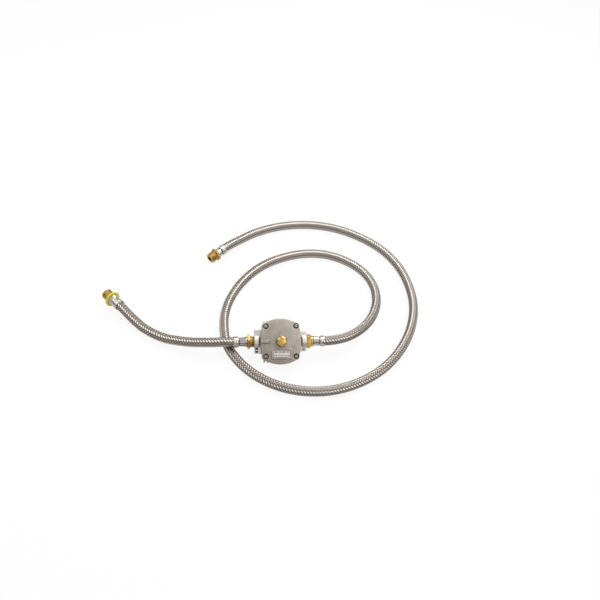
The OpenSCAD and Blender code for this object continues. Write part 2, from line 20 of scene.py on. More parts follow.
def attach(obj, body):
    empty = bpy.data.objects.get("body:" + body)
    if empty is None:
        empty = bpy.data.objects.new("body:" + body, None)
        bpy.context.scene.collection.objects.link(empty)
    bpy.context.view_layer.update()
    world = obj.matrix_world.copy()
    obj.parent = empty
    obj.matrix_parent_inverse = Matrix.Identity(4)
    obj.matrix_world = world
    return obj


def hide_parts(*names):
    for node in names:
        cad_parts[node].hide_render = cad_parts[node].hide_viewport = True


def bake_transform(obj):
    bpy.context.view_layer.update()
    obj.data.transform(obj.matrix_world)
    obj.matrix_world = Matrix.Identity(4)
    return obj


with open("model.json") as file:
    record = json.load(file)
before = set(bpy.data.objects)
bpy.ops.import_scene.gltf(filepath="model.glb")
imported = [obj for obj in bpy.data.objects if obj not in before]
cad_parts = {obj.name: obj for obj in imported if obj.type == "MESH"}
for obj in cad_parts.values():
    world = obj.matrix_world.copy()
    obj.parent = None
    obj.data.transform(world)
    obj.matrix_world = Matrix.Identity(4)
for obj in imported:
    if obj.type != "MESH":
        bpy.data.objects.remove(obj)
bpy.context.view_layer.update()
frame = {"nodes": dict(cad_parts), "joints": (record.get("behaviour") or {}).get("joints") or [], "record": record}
joints = {joint["name"]: joint for joint in frame["joints"]}
MM = 0.001

# %% [markdown]
# ## Camera
#
# The camera looks down at nearly 45 degrees, from in front and a little to the left, and it is held slightly
# askew. A long lens far away keeps the hoses from spreading towards the edges. It aims at a point on the
# surface that the object lies on: the turns below swing it round that point, from the last one to the first.

# %% Camera
CAMERA_AIM = Vector((42.9, 141.4, 0)) * MM
CAMERA_DISTANCE = 1404 * MM
CAMERA_LEFT = math.radians(8.5)
CAMERA_HEIGHT = math.radians(44.7)
CAMERA_ROLL = math.radians(5.6)
CAMERA_LENS = 42.12


def new_object(name, data):
    """A new object in the scene."""
    made = bpy.data.objects.new(name, data)
    bpy.context.scene.collection.objects.link(made)
    return made


camera_data = bpy.data.cameras.new("camera")
camera_data.lens = CAMERA_LENS
camera = new_object("camera", camera_data)
camera.matrix_world = (
    Matrix.Translation(CAMERA_AIM) @ Matrix.Rotation(-CAMERA_LEFT, 4, "Z")
    @ Matrix.Rotation(math.radians(90) - CAMERA_HEIGHT, 4, "X") @ Matrix.Rotation(CAMERA_ROLL, 4, "Z")
    @ Matrix.Translation((0, 0, CAMERA_DISTANCE)))
bpy.context.scene.camera = camera
bpy.context.scene.view_settings.view_transform = "Standard"
print("camera at", [round(v, 4) for v in camera.location])

# %% [markdown]
# ## Colours and nodes
#
# A colour is easiest to judge as the hex value that a screen shows, but a shader works in linear light. One
# function does that turn. A second one adds a node with its settings and links, so that a material reads
# from top to bottom like a recipe. Every finished material is kept under the name of its slot in the record.

# %% Helpers for materials
FINISH = {}


def hex_colour(code):
    """An sRGB hex value as linear red, green, blue and alpha."""
    shares = [int(code[i:i + 2], 16) / 255 for i in (1, 3, 5)]
    return (*[c / 12.92 if c <= 0.04045 else ((c + 0.055) / 1.055) ** 2.4 for c in shares], 1)


def add(tree, kind, inputs=None, **settings):
    """A new node. An input is a value, a hex colour, a socket, or a node whose first output is linked."""
    node = tree.nodes.new("ShaderNode" + kind)
    for name, value in settings.items():
        setattr(node, name, value)
    for name, value in (inputs or {}).items():
        if isinstance(value, bpy.types.Node):
            value = value.outputs[0]
        if isinstance(value, bpy.types.NodeSocket):
            tree.links.new(value, node.inputs[name])
        else:
            node.inputs[name].default_value = hex_colour(value) if isinstance(value, str) else value
    return node


def new_material(name, surface, *colours, **numbers):
    """A material whose nodes are added by surface(tree, ...), which returns the last one of them."""
    material = bpy.data.materials.new(name)
    material.use_nodes = True
    tree = material.node_tree
    tree.nodes.clear()
    add(tree, "OutputMaterial", {"Surface": surface(tree, *colours, **numbers)})
    return material


print("white is", hex_colour("#FFFFFF"))

# %% [markdown]
# ## Stainless wire braid
#
# The hose is a rubber tube in a sleeve of thin stainless wires. Wires run side by side in flat strands, and
# the strands cross over two and under two. Drawn wire is smooth and bright, but at this size a strand reads
# as a warm grey band with fine lines along it, dark where it dives under its neighbour. The lines are painted
# shade, and that dark is painted shade with some grime.
#
# The weave itself is modelled further down, so the material only has to add what is finer than a strand: the
# wires, from a UV map that runs across and along each strand, with painted shade in the gaps between them; a
# small difference of tone from strand to strand, and a painted sheen that makes the first family lighter; and
# painted shade, with some grime, in the low places, from an attribute that says how high a point of the weave
# is. A bundle of wires spreads its highlight across itself and not along, so the two ways that strands run
# never shine alike. That is an anisotropic reflection, whose tangent also comes from the UV map.

# %% Braid material
WIRES_PER_STRAND = 6
WIRE_GROOVE = 0.12


def stainless_braid(tree):
    lay = add(tree, "UVMap", uv_map="lay")
    split = add(tree, "SeparateXYZ", {"Vector": lay})
    count = add(tree, "Math", {0: split, 1: WIRES_PER_STRAND}, operation="MULTIPLY")
    wire = add(tree, "Math", {0: count, 1: 0.5}, operation="PINGPONG")
    round_wire = add(tree, "MapRange", {"Value": wire, "From Min": 0.0, "From Max": 0.4},
                     interpolation_type="SMOOTHSTEP")
    height = add(tree, "Attribute", attribute_name="height").outputs["Fac"]
    tone_and_sheen = add(tree, "Attribute", attribute_name="tone_and_sheen").outputs["Fac"]
    # Painted shade, with some grime: the low places of the weave are mixed towards the dark colour.
    low_shade_and_grime = add(tree, "MapRange", {"Value": height, "From Min": 0.15, "From Max": 0.9})
    # The tone carries a painted sheen that lifts the first family towards the light colour.
    strand = add(tree, "Mix", {"Factor": tone_and_sheen, 6: "#A89F96", 7: "#EAE3DA"}, data_type="RGBA")
    # Painted shade: the gaps between wires darken the strand's colour.
    wire_gap_shade = add(tree, "MapRange", {"Value": round_wire, "To Min": 0.7, "To Max": 1.0})
    wires = add(tree, "Mix", {"Factor": 1.0, 6: strand.outputs[2], 7: wire_gap_shade}, data_type="RGBA",
                blend_type="MULTIPLY")
    colour = add(tree, "Mix", {"Factor": low_shade_and_grime, 6: "#4E4740", 7: wires.outputs[2]}, data_type="RGBA")
    bump = add(tree, "Bump", {"Height": round_wire, "Strength": 0.6, "Distance": WIRE_GROOVE * MM})
    rough = add(tree, "MapRange", {"Value": tone_and_sheen, "To Min": 0.5, "To Max": 0.38})
    across = add(tree, "Tangent", direction_type="UV_MAP", uv_map="lay")
    return add(tree, "BsdfPrincipled", {"Base Color": colour.outputs[2], "Metallic": 1.0, "Normal": bump,
                                        "Roughness": rough, "Anisotropic": 0.4, "Tangent": across})


FINISH["braid"] = new_material("stainless_wire_braid", stainless_braid)
print("material:", FINISH["braid"].name)

# %% [markdown]
# ## The routes of the hoses
#
# A braided hose is stiff and springy, so it lies in long even bends. Its route is a list of points, chosen
# where the hose leaves a fitting, comes down to the surface and swings round. A cubic curve joins them:
# at each point it heads halfway between the runs before and after, and at its ends it leaves square to the
# ferrule. Where the curve would dip into the surface it is held at the radius of the hose.

# %% Route points
HOSE_R = 9
FACE_INLET = (-91.2, 6.898, 27.554)
FACE_OUTLET = (74.3, 6.898, 27.554)
FACE_SUPPLY = (-305, 114, 15.25)
FACE_APPLIANCE = (-107, 279, 16.431)
SUPPLY_TURN = 131
APPLIANCE_TURN = 220
APPLIANCE_DROOP = 9
SHORT_POINTS = [
    (-110, 7, 28), (-128, 8, 26), (-145, 11, 23), (-161, 15, 19), (-178, 20, 15.5), (-195, 26, 12.5),
    (-212, 32, 10.5), (-228, 40, 9.5), (-243, 50, 9), (-257, 61, 9), (-269, 73, 10), (-281, 86, 11.5),
    (-293, 100, 13.5)]
LONG_POINTS = [
    (98, 10, 27), (121, 19, 25), (144, 36, 21.5), (166, 61, 17), (184, 93, 13), (195, 131, 10.5),
    (195, 173, 9), (179, 215, 9), (146, 249, 9), (106, 268, 9), (63, 271, 9), (20, 260, 9), (-23, 237, 9),
    (-61, 199, 9), (-90, 151, 9), (-106, 100, 9), (-108, 53, 9), (-103, 18, 9), (-89, -13, 9),
    (-64, -46, 9), (-31, -72, 9), (5, -88, 9), (45, -95, 9), (87, -92, 9), (132, -77, 9), (180, -46, 9),
    (222, 1, 9), (252, 57, 9), (268, 116, 9), (269, 174, 9), (258, 230, 9), (232, 282, 9), (190, 325, 9),
    (136, 356, 9), (77, 368, 9), (16, 362, 9), (-37, 340, 10), (-72, 313, 12.5)]


def heading(turn, droop=0):
    """Unit vector that points turn degrees round from +X and droop degrees down."""
    turn, droop = math.radians(turn), math.radians(droop)
    return np.array((math.cos(droop) * math.cos(turn), math.cos(droop) * math.sin(turn), -math.sin(droop)))


def unit(vector):
    return vector / np.linalg.norm(vector)


def smooth_route(points, first, last):
    """A dense line in metres through the points, with the given headings at its two ends."""
    points = np.array(points) * MM
    through = [unit(unit(c - b) + unit(b - a)) for a, b, c in zip(points, points[1:], points[2:])]
    headings = [first, *through, last]
    t = np.linspace(0, 1, 80, endpoint=False)[:, None]
    runs = []
    for a, b, leave, arrive in zip(points, points[1:], headings, headings[1:]):
        reach = np.linalg.norm(b - a)
        runs.append((2 * t**3 - 3 * t**2 + 1) * a + (t**3 - 2 * t**2 + t) * reach * leave
                    + (3 * t**2 - 2 * t**3) * b + (t**3 - t**2) * reach * arrive)
    line = np.vstack([*runs, points[-1:]])
    line[:, 2] = np.maximum(line[:, 2], HOSE_R * MM)
    return line


def length_of(line):
    return float(np.linalg.norm(np.diff(line, axis=0), axis=1).sum())


short_route = smooth_route([FACE_INLET, *SHORT_POINTS, FACE_SUPPLY], heading(180), heading(SUPPLY_TURN))
long_route = smooth_route([FACE_OUTLET, *LONG_POINTS, FACE_APPLIANCE], heading(0),
                          heading(APPLIANCE_TURN, APPLIANCE_DROOP))
print("short hose:", round(length_of(short_route), 3), "m, long hose:", round(length_of(long_route), 3), "m")

# %% [markdown]
# ## Putting a piece on the model
#
# Every new piece needs the same things: a mesh, the slot of its finish in the record, the solids that it
# stands for, and the body that it moves with. A piece that bends between two bodies gets no body here. The
# smaller helpers add a modifier, apply all modifiers of a scratch object, turn a mesh that is being built
# into a plain one, and shade it.

# %% Helpers for pieces
SHARP_ANGLE = math.radians(40)


def put(name, mesh, slot, *nodes, body="casing", finish=None):
    """Link the mesh as a piece that rides on a body and replaces the named solids."""
    mesh.name = name
    mesh.materials.append(finish or FINISH[slot])
    piece = new_object(name, mesh)
    if body:
        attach(piece, body)
    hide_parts(*nodes)
    print(f"{name}: {len(mesh.polygons)} faces for {', '.join(nodes) or 'a detail of its own'}")
    return piece


def modify(piece, kind, **settings):
    """Add a modifier with its settings."""
    modifier = piece.modifiers.new(kind.lower(), kind)
    for name, value in settings.items():
        setattr(modifier, name, value)


def applied(work, *tools):
    """The mesh of a scratch object with its modifiers applied. The object and its tools are removed."""
    bpy.context.view_layer.update()
    mesh = bpy.data.meshes.new_from_object(work.evaluated_get(bpy.context.evaluated_depsgraph_get()))
    mesh.materials.clear()
    for one in (work, *tools):
        bpy.data.objects.remove(one)
    return mesh


def mesh_of(bm):
    """The mesh that was built in bm."""
    mesh = bpy.data.meshes.new("mesh")
    bm.to_mesh(mesh)
    bm.free()
    return mesh


def smooth(mesh):
    """Shade a mesh smooth, and keep the edges that bend more than the sharp angle."""
    mesh.shade_smooth()
    mesh.set_sharp_from_angle(angle=SHARP_ANGLE)
    return mesh


print("edges stay sharp from", round(math.degrees(SHARP_ANGLE)), "degrees")

# %% [markdown]
# ## Weaving the braid
#
# A braid could be drawn with a bump map, but then its edge would be a plain pipe. Weaving every wire as a
# tube would take millions of faces. Between the two lies a height field: a sleeve of diamond-shaped faces
# whose corners move in and out with the weave.
#
# Both families of strands run along the sides of those diamonds. Number the diamonds one way round with a
# and the other way with b: a strand of the first family covers three steps of a, a strand of the second
# three steps of b. Where the sum of the two strand numbers, counted in fours, is 0 or 1, the first family is
# on top, which is the two-over, two-under of a real hose. A strand is flat across with rounded edges, and
# arched along each float. Twelve strands each way would be true to the hose, but ten of them, a fifth wider,
# still show from a step away.

# %% Weave settings
STRANDS = 10
STEPS = 3
REPEAT = 5.2
RELIEF = 0.75
INTO_FERRULE = 1.5
AROUND = STRANDS * STEPS
ROW = REPEAT / (2 * STEPS)


def on_top(across, along):
    """For each pair of strand numbers: whether the first family is on top, and which half of its float."""
    place = (across + along) % 4
    return place < 2, place % 2


def crown(share):
    """Height over a strand or float for a share from 0 to 1: flat in the middle, steep at the edge."""
    return 1 - np.abs(2 * share - 1) ** 3


def weave_height(a, b):
    """Height of the weave, 0 to 1, at steps a and b: the highest of the four diamonds that meet there."""
    best = np.zeros(a.shape)
    for side_a in (0, -1):
        for side_b in (0, -1):
            strand_a, strand_b = (a + side_a) // STEPS, (b + side_b) // STEPS
            first, float_step = on_top(strand_a, strand_b)
            over_a, over_b = a / STEPS - strand_a, b / STEPS - strand_b
            across = np.where(first, over_a, over_b)
            along = (float_step + np.where(first, over_b, over_a)) / 2
            best = np.maximum(best, crown(across) * crown(along))
    return best


print("strands:", 2 * STRANDS, "rows every", round(ROW, 3), "mm")

# %% [markdown]
# The sleeve is laid along its route with a pair of directions that never twist, so that the weave runs true.
# Its points are numbered by row, m, and by place in the row, p. Each row is turned half a step further than
# the last, so that four points of three rows make a diamond.

# %% Rows and faces of a sleeve
def rows_along(route, count):
    """Evenly spaced points on the route, and two directions square to it that don't twist."""
    run = np.concatenate([[0], np.cumsum(np.linalg.norm(np.diff(route, axis=0), axis=1))])
    even = np.linspace(0, run[-1], count)
    line = np.column_stack([np.interp(even, run, route[:, k]) for k in range(3)])
    forward = np.gradient(line, axis=0)
    forward /= np.linalg.norm(forward, axis=1)[:, None]
    side = np.empty_like(forward)
    side[0] = unit(np.cross(forward[0], (0, 0, 1)))
    for i in range(1, count):
        side[i] = unit(side[i - 1] - forward[i] * np.dot(side[i - 1], forward[i]))
    return line, side, np.cross(forward, side)


def sleeve_faces(m, p, rows):
    """Each diamond's left, near, right and far corner, and the zigzag rims that close the two ends."""
    after = (p + 1) % AROUND
    diamonds = np.column_stack([m * AROUND + p, (m - 1) * AROUND + after,
                                m * AROUND + after, (m + 1) * AROUND + p])
    here = np.arange(AROUND)
    ahead = (here + 1) % AROUND
    near_end = np.column_stack([AROUND + here, ahead]).ravel()[::-1]
    far_end = np.column_stack([(rows - 1) * AROUND + here, (rows - 2) * AROUND + ahead]).ravel()
    return [*diamonds.tolist(), near_end.tolist(), far_end.tolist()]


print("points round a sleeve:", AROUND)

# %% [markdown]
# Each face gets its place across and along its strand as a UV map called lay, and a tone that differs from
# strand to strand and a little from float to float, with a painted sheen that lifts the whole first family. A
# second UV map cuts the sleeve into strips that lie side by side in a square, for anyone who paints it.

# %% Maps and tones of a sleeve
FLOAT_TONES = 997
END_TONE = 0.5


def lay_map(m, p, first):
    """Place across and along the strand on top, for each corner."""
    a = p[:, None] + np.array([0, 1, 1, 0])
    b = (p + m)[:, None] + np.array([0, 0, 1, 1])
    return np.where(first[:, None, None], np.stack([a, b], 2), np.stack([b, a], 2)) / STEPS


def strip_map(m, p, rows, strips):
    """Place round the hose and along it from the strip's first row, for each corner."""
    per_strip = math.ceil(rows / strips)
    strip = m // per_strip
    round_hose = ((2 * p + m) % (2 * AROUND))[:, None] + np.array([0, 1, 2, 1])
    along_strip = (m - strip * per_strip)[:, None] + np.array([0, -1, 0, 1])
    return np.stack([(strip[:, None] + 0.02 + 0.96 * round_hose / (2 * AROUND + 2)) / strips,
                     (along_strip + 2) / (per_strip + 4)], 2)


def tones_and_sheen_of(strand_a, strand_b, first, float_step, seed):
    """Tone of each face by its strand and a little by its float, with painted sheen on the first family."""
    random = np.random.default_rng(seed)
    tones = random.uniform(0, 0.15, (2, STRANDS))
    laps = random.uniform(-0.06, 0.06, FLOAT_TONES)
    # Painted sheen: the first family is lifted by 0.8, so it reads lighter, as if it caught the light.
    tone_and_sheen = np.where(first, 0.8 + tones[0, strand_a % STRANDS], tones[1, strand_b % STRANDS])
    return tone_and_sheen + laps[(strand_a * 31 + strand_b * 17 - float_step * 17) % FLOAT_TONES]


print("tones of floats:", FLOAT_TONES)

# %% [markdown]
# The sleeve reaches a little into the ferrules at both ends, so that no gap shows there. Its points are
# placed first, then come its faces, and last its maps and tones.

# %% The sleeve of a hose
def braided_sleeve(route, strips, seed):
    """Mesh of a woven sleeve along the route."""
    inside = INTO_FERRULE * MM
    route = np.vstack([route[0] - inside * unit(route[1] - route[0]), route,
                       route[-1] + inside * unit(route[-1] - route[-2])])
    rows = round(length_of(route) / (ROW * MM)) + 1
    line, side, up = rows_along(route, rows)
    m, p = np.meshgrid(np.arange(rows), np.arange(AROUND), indexing="ij")
    height = weave_height(p, p + m)
    angle = np.pi * (2 * p + m) / AROUND
    radius = (HOSE_R - RELIEF * (1 - height)) * MM
    spot = (line[:, None] + radius[..., None] * (np.cos(angle)[..., None] * side[:, None]
                                                 + np.sin(angle)[..., None] * up[:, None]))

    m, p = m[1:-1].ravel(), p[1:-1].ravel()
    mesh = bpy.data.meshes.new("sleeve")
    mesh.from_pydata(spot.reshape(-1, 3).tolist(), [], sleeve_faces(m, p, rows))

    strand_a, strand_b = p // STEPS, (p + m) // STEPS
    first, float_step = on_top(strand_a, strand_b)
    end_corners = np.zeros((4 * AROUND, 2))
    for layer, values in (("OFBake", strip_map(m, p, rows, strips)), ("lay", lay_map(m, p, first))):
        uv = mesh.uv_layers.new(name=layer)
        uv.data.foreach_set("uv", np.vstack([values.reshape(-1, 2), end_corners]).astype(np.float32).ravel())
    tone_and_sheen = np.append(tones_and_sheen_of(strand_a, strand_b, first, float_step, seed), [END_TONE, END_TONE])
    mesh.attributes.new("tone_and_sheen", "FLOAT", "FACE").data.foreach_set("value", tone_and_sheen)
    mesh.attributes.new("height", "FLOAT", "POINT").data.foreach_set("value", height.ravel())
    mesh.shade_smooth()
    return mesh


braid_long = put("braid_long", braided_sleeve(long_route, strips=6, seed=11), "braid", "long_hose")
braid_short = put("braid_short", braided_sleeve(short_route, strips=2, seed=12), "braid", "short_hose")

# %% [markdown]
# ## Brass
#
# The fittings are free-cutting brass, turned on a lathe and left bare. That gives the eye a warm yellow with
# a darker, browner reflection of the room, and very fine rings from the tool. Hex flats come from the drawn
# bar, so they carry faint lines too. The corners are painted darker: painted shade, with a little grime from
# handling.

# %% Brass material
TOOL_MARK = 0.35
MARK_DEPTH = 0.02


def unshaded_share(tree, reach, low, high):
    """A share for painted shade: 0 deep in a corner, 1 in the open, judged within reach millimetres."""
    corner = add(tree, "AmbientOcclusion", {"Distance": reach * MM}, samples=8)
    return add(tree, "MapRange", {"Value": corner.outputs["AO"], "From Min": low, "From Max": high})


def turned_metal(tree, dark, light, roughness, mark_strength, spot_size):
    """A bare turned metal: rings from the tool, soft patches of tone, and painted shade in its corners."""
    place = add(tree, "TexCoord").outputs["Object"]
    along = add(tree, "Attribute", attribute_name="along").outputs["Fac"]
    rings = add(tree, "TexNoise", {"W": along, "Scale": 1 / TOOL_MARK, "Detail": 2.0}, noise_dimensions="1D")
    patches = add(tree, "TexNoise", {"Vector": place, "Scale": 1 / (spot_size * MM), "Detail": 4.0,
                                     "Roughness": 0.6})
    # Painted shade: the corners are mixed towards the dark colour.
    unshaded = unshaded_share(tree, 2.5, 0.35, 0.9)
    patch_share = add(tree, "MapRange", {"Value": patches, "From Min": 0.35, "From Max": 0.65,
                                         "To Min": 0.4})
    share = add(tree, "Math", {0: unshaded, 1: patch_share}, operation="MULTIPLY")
    eased = add(tree, "MapRange", {"Value": share, "To Min": 0.25})
    shade_and_tone = add(tree, "Math", {0: unshaded, 1: eased}, operation="MULTIPLY")
    colour = add(tree, "Mix", {"Factor": shade_and_tone, 6: dark, 7: light}, data_type="RGBA")
    gloss = add(tree, "MapRange", {"Value": patches, "From Min": 0.3, "From Max": 0.7,
                                   "To Min": roughness * 0.8, "To Max": roughness * 1.25})
    bump = add(tree, "Bump", {"Height": rings, "Strength": mark_strength, "Distance": MARK_DEPTH * MM})
    return add(tree, "BsdfPrincipled", {"Base Color": colour.outputs[2], "Metallic": 1.0,
                                        "Roughness": gloss, "Normal": bump})


FINISH["brass"] = new_material("turned_brass", turned_metal, "#6A4B26", "#CFAD67", roughness=0.27,
                               mark_strength=0.7, spot_size=9)
print("material:", FINISH["brass"].name)

# %% [markdown]
# ## Nickel-plated steel
#
# Ferrules and sleeves are steel with a bright nickel plate. Nickel is a slightly warm grey and polishes to
# almost a mirror, so most of what it shows is the room: a light band, a dark one, and a soft scatter where
# the crimping jaws pressed. The works and the screws are steel too, plated with duller zinc: the works are
# left bluish grey, and the screws are passivated, which turns them a pale yellow.

# %% Nickel, zinc and yellow-passivated steel
FINISH["bright_steel"] = new_material("nickel_plated_steel", turned_metal, "#4C4742", "#C0BAB3",
                                      roughness=0.2, mark_strength=0.35, spot_size=7)
FINISH["plain_steel"] = new_material("zinc_plated_steel", turned_metal, "#6E7074", "#C2C5C8",
                                     roughness=0.38, mark_strength=0.3, spot_size=4)
FINISH["screw_steel"] = new_material("yellow_passivated_steel", turned_metal, "#5C5242", "#C4B797",
                                     roughness=0.34, mark_strength=0.2, spot_size=3)
print("materials so far:", len(FINISH))

# %% [markdown]
# ## Bare die-cast aluminium
#
# The casing is cast in two halves and left bare. Molten metal copies the die, so the skin has a fine sandy
# grain, drawn at 0.7 mm here so that it shows, and soft clouds where the metal froze at different times.
# Handling polishes the raised edges a little, and the corners are painted darker: painted shade, with
# some grime.

# %% Cast aluminium material
GRAIN = 0.7
GRAIN_DEPTH = 0.25
CLOUD = 14


def cast_aluminium(tree, dark, base, edge, roughness):
    place = add(tree, "TexCoord").outputs["Object"]
    grain = add(tree, "TexNoise", {"Vector": place, "Scale": 1 / (GRAIN * MM), "Detail": 3.0,
                                   "Roughness": 0.6})
    cloud = add(tree, "TexNoise", {"Vector": place, "Scale": 1 / (CLOUD * MM), "Detail": 5.0,
                                   "Roughness": 0.6})
    # Painted shade, with some grime: the corners are mixed towards the dark colour.
    unshaded = unshaded_share(tree, 4, 0.4, 0.95)
    cloud_share = add(tree, "MapRange", {"Value": cloud, "From Min": 0.3, "From Max": 0.7, "To Min": 0.65})
    shade_and_tone = add(tree, "Math", {0: unshaded, 1: cloud_share}, operation="MULTIPLY")
    skin = add(tree, "Mix", {"Factor": shade_and_tone, 6: dark, 7: base}, data_type="RGBA")
    shape = add(tree, "NewGeometry")
    worn = add(tree, "MapRange", {"Value": shape.outputs["Pointiness"], "From Min": 0.52, "From Max": 0.58})
    colour = add(tree, "Mix", {"Factor": worn, 6: skin.outputs[2], 7: edge}, data_type="RGBA")
    rough = add(tree, "MapRange", {"Value": grain, "To Min": roughness * 0.8, "To Max": roughness * 1.2})
    bump = add(tree, "Bump", {"Height": grain, "Strength": 0.55, "Distance": GRAIN_DEPTH * MM})
    return add(tree, "BsdfPrincipled", {"Base Color": colour.outputs[2], "Metallic": 1.0,
                                        "Roughness": rough, "Normal": bump})


FINISH["cast_body"] = new_material("die_cast_aluminium_light", cast_aluminium, "#5E5851", "#D2CCC4",
                                   "#F0EBE5", roughness=0.42)
FINISH["cast_cover"] = new_material("die_cast_aluminium_grey", cast_aluminium, "#4A443E", "#A69E95",
                                    "#D2CBC3", roughness=0.5)
print("materials so far:", len(FINISH))

# %% [markdown]
# ## Rubber, nylon and the label
#
# The seals are black nitrile rubber, moulded and matt. The ring on the supply end is injection-moulded
# nylon, dyed yellow: a little soft light gets into it, so its shadows stay warm. The label is a thin rolled
# aluminium plate. Its print is replaced by plain marks, which are small flat pieces in black ink.

# %% Soft and coloured materials
SKIN_DEPTH = 0.05


def moulded(tree, dark, light, roughness, grain_size, glow=0.0):
    """A moulded rubber or plastic with a fine grain."""
    place = add(tree, "TexCoord").outputs["Object"]
    grain = add(tree, "TexNoise", {"Vector": place, "Scale": 1 / (grain_size * MM), "Detail": 3.0})
    colour = add(tree, "Mix", {"Factor": grain, 6: dark, 7: light}, data_type="RGBA")
    rough = add(tree, "MapRange", {"Value": grain, "To Min": roughness * 0.8, "To Max": roughness * 1.2})
    bump = add(tree, "Bump", {"Height": grain, "Strength": 0.2, "Distance": SKIN_DEPTH * MM})
    return add(tree, "BsdfPrincipled", {
        "Base Color": colour.outputs[2], "Roughness": rough, "Normal": bump, "Subsurface Weight": glow,
        "Subsurface Radius": (2 * MM, 1.6 * MM, 0.4 * MM), "Subsurface Scale": 1.0})


FINISH["black_rubber"] = new_material("nitrile_rubber", moulded, "#191A1B", "#2A2B2C", roughness=0.6,
                                      grain_size=0.8)
FINISH["yellow_plastic"] = new_material("yellow_nylon", moulded, "#CFC020", "#E6D93F", roughness=0.34,
                                        grain_size=1.5, glow=0.15)
INK = new_material("black_ink", moulded, "#2E2A27", "#45403B", roughness=0.5, grain_size=0.3)
FINISH["label_metal"] = new_material("rolled_aluminium_plate", turned_metal, "#A29C95", "#D5CFC7",
                                     roughness=0.3, mark_strength=0.3, spot_size=6)
print("finishes:", ", ".join(FINISH))

# %% [markdown]
# ## Turned pieces
#
# A lathe makes a piece by turning an outline about an axis, and so does this helper. The outline is a closed
# loop of corners: how far along the axis, how far out, and how much the corner is rounded. Rounding matters
# more than anything else here, because a real edge always catches a thin line of light.

# %% Turning helper
EVEN_ANGLES = np.radians(np.arange(0, 360, 3.75))


def rounded(corners, steps=5):
    """A closed outline in millimetres from corners of (along, out, rounding)."""
    outline = []
    for i, (along, out, rounding) in enumerate(corners):
        here = Vector((along, out))
        before = Vector(corners[i - 1][:2]) - here
        after = Vector(corners[(i + 1) % len(corners)][:2]) - here
        reach = min(rounding, before.length * 0.48, after.length * 0.48)
        if reach < 0.02:
            outline.append(here)
            continue
        start, end = here + before.normalized() * reach, here + after.normalized() * reach
        outline += [start.lerp(here, t).lerp(here.lerp(end, t), t) for t in np.linspace(0, 1, steps)]
    return outline


def turned(place, corners, angles=EVEN_ANGLES, limit=None):
    """Mesh of the outline turned about the place's Z axis. limit(along, out, angle) may bring a point in."""
    bm = bmesh.new()
    level = bm.verts.layers.float.new("along")
    rings = []
    for along, out in rounded(corners):
        ring = []
        for angle in angles:
            r = limit(along, out, angle) if limit else out
            point = bm.verts.new(place @ (Vector((r * math.cos(angle), r * math.sin(angle), along)) * MM))
            point[level] = along
            ring.append(point)
        rings.append(ring)
    for near, far in zip(rings, rings[1:] + rings[:1]):
        for j, corner in enumerate(near):
            bm.faces.new((near[j - 1], corner, far[j], far[j - 1]))
    bmesh.ops.remove_doubles(bm, verts=bm.verts, dist=0.002 * MM)
    bmesh.ops.dissolve_degenerate(bm, edges=bm.edges, dist=0.001 * MM)
    bmesh.ops.recalc_face_normals(bm, faces=bm.faces)
    return smooth(mesh_of(bm))


def washer(low, high, inner, outer, inner_rounding, outer_rounding):
    """Corners of a flat ring."""
    return [(low, inner, inner_rounding), (low, outer, outer_rounding),
            (high, outer, outer_rounding), (high, inner, inner_rounding)]


print("angles round a turned piece:", len(EVEN_ANGLES))

# %% [markdown]
# A hexagon is the same turning with a limit: a point may not lie further out than the nearest flat. A thread
# is the same again with a helix subtracted.

# %% Hexagons and threads
def weigh(piece):
    """Let the large flat faces of a piece rule its shading, so that they stay flat beside rounded edges."""
    modify(piece, "WEIGHTED_NORMAL", keep_sharp=True)
    return piece


def hex_angles(flats, out):
    """Angles for a hexagon whose corners are turned down to radius out: close together at each corner."""
    corner = math.degrees(math.acos(min(1, flats / 2 / out)))
    steps = (-corner, -20, -10, 0, 10, 20, corner, 30)
    return np.radians([60 * side + step for side in range(6) for step in steps])


def hex_limit(flats, until=math.inf):
    """Limit a radius to a hexagon with a flat at angle 0, as far along as until."""
    def limit(along, out, angle):
        off = (math.degrees(angle) + 30) % 60 - 30
        return min(out, flats / 2 / math.cos(math.radians(off))) if along < until else out
    return limit


def threaded(out, pitch, depth, low, high):
    """Limit a radius to a right-hand thread from low to high, fading out over one pitch at each end."""
    def limit(along, r, angle):
        if r < out - 0.01 or not low <= along <= high:
            return r
        turn = (along / pitch - angle / (2 * math.pi)) % 1
        valley = min(1, max(0, 1.25 * (1 - abs(2 * turn - 1) * 2 + 0.6)))
        fade = min(1, (along - low) / pitch, (high - along) / pitch)
        return r - depth * valley * fade
    return limit


def both(first, second):
    """A limit that applies two limits, one after the other."""
    return lambda along, out, angle: second(along, first(along, out, angle), angle)


def thread_rows(low, high, out, pitch):
    """Outline points close enough together to show a thread."""
    return [(along, out, 0) for along in np.arange(low, high, pitch / 10)]


print("angles round a hexagon:", len(hex_angles(flats=20, out=11)))

# %% [markdown]
# ## Where the hose ends are
#
# Each hose end is built along its own axis, from the face where the hose leaves its ferrule towards the
# fitting. The regulator has a frame too, given by the joint of its cap: Z along the tower and X along the
# ports.

# %% Frames of the ends and of the regulator
def end_place(face, turn, droop=0):
    return (Matrix.Translation(Vector(face) * MM) @ Matrix.Rotation(math.radians(turn), 4, "Z")
            @ Matrix.Rotation(math.radians(90 + droop), 4, "Y"))


AT_INLET = end_place(FACE_INLET, 0)
AT_OUTLET = end_place(FACE_OUTLET, 180)
AT_SUPPLY = end_place(FACE_SUPPLY, SUPPLY_TURN)
AT_APPLIANCE = end_place(FACE_APPLIANCE, APPLIANCE_TURN, APPLIANCE_DROOP)

tower = Vector(joints["cap_turn"]["axis"]).normalized()
ports = Vector((1, 0, 0))
REGULATOR = Matrix.Translation(joints["cap_turn"]["pos_m"]) @ Matrix(
    (ports, tower.cross(ports), tower)).transposed().to_4x4()


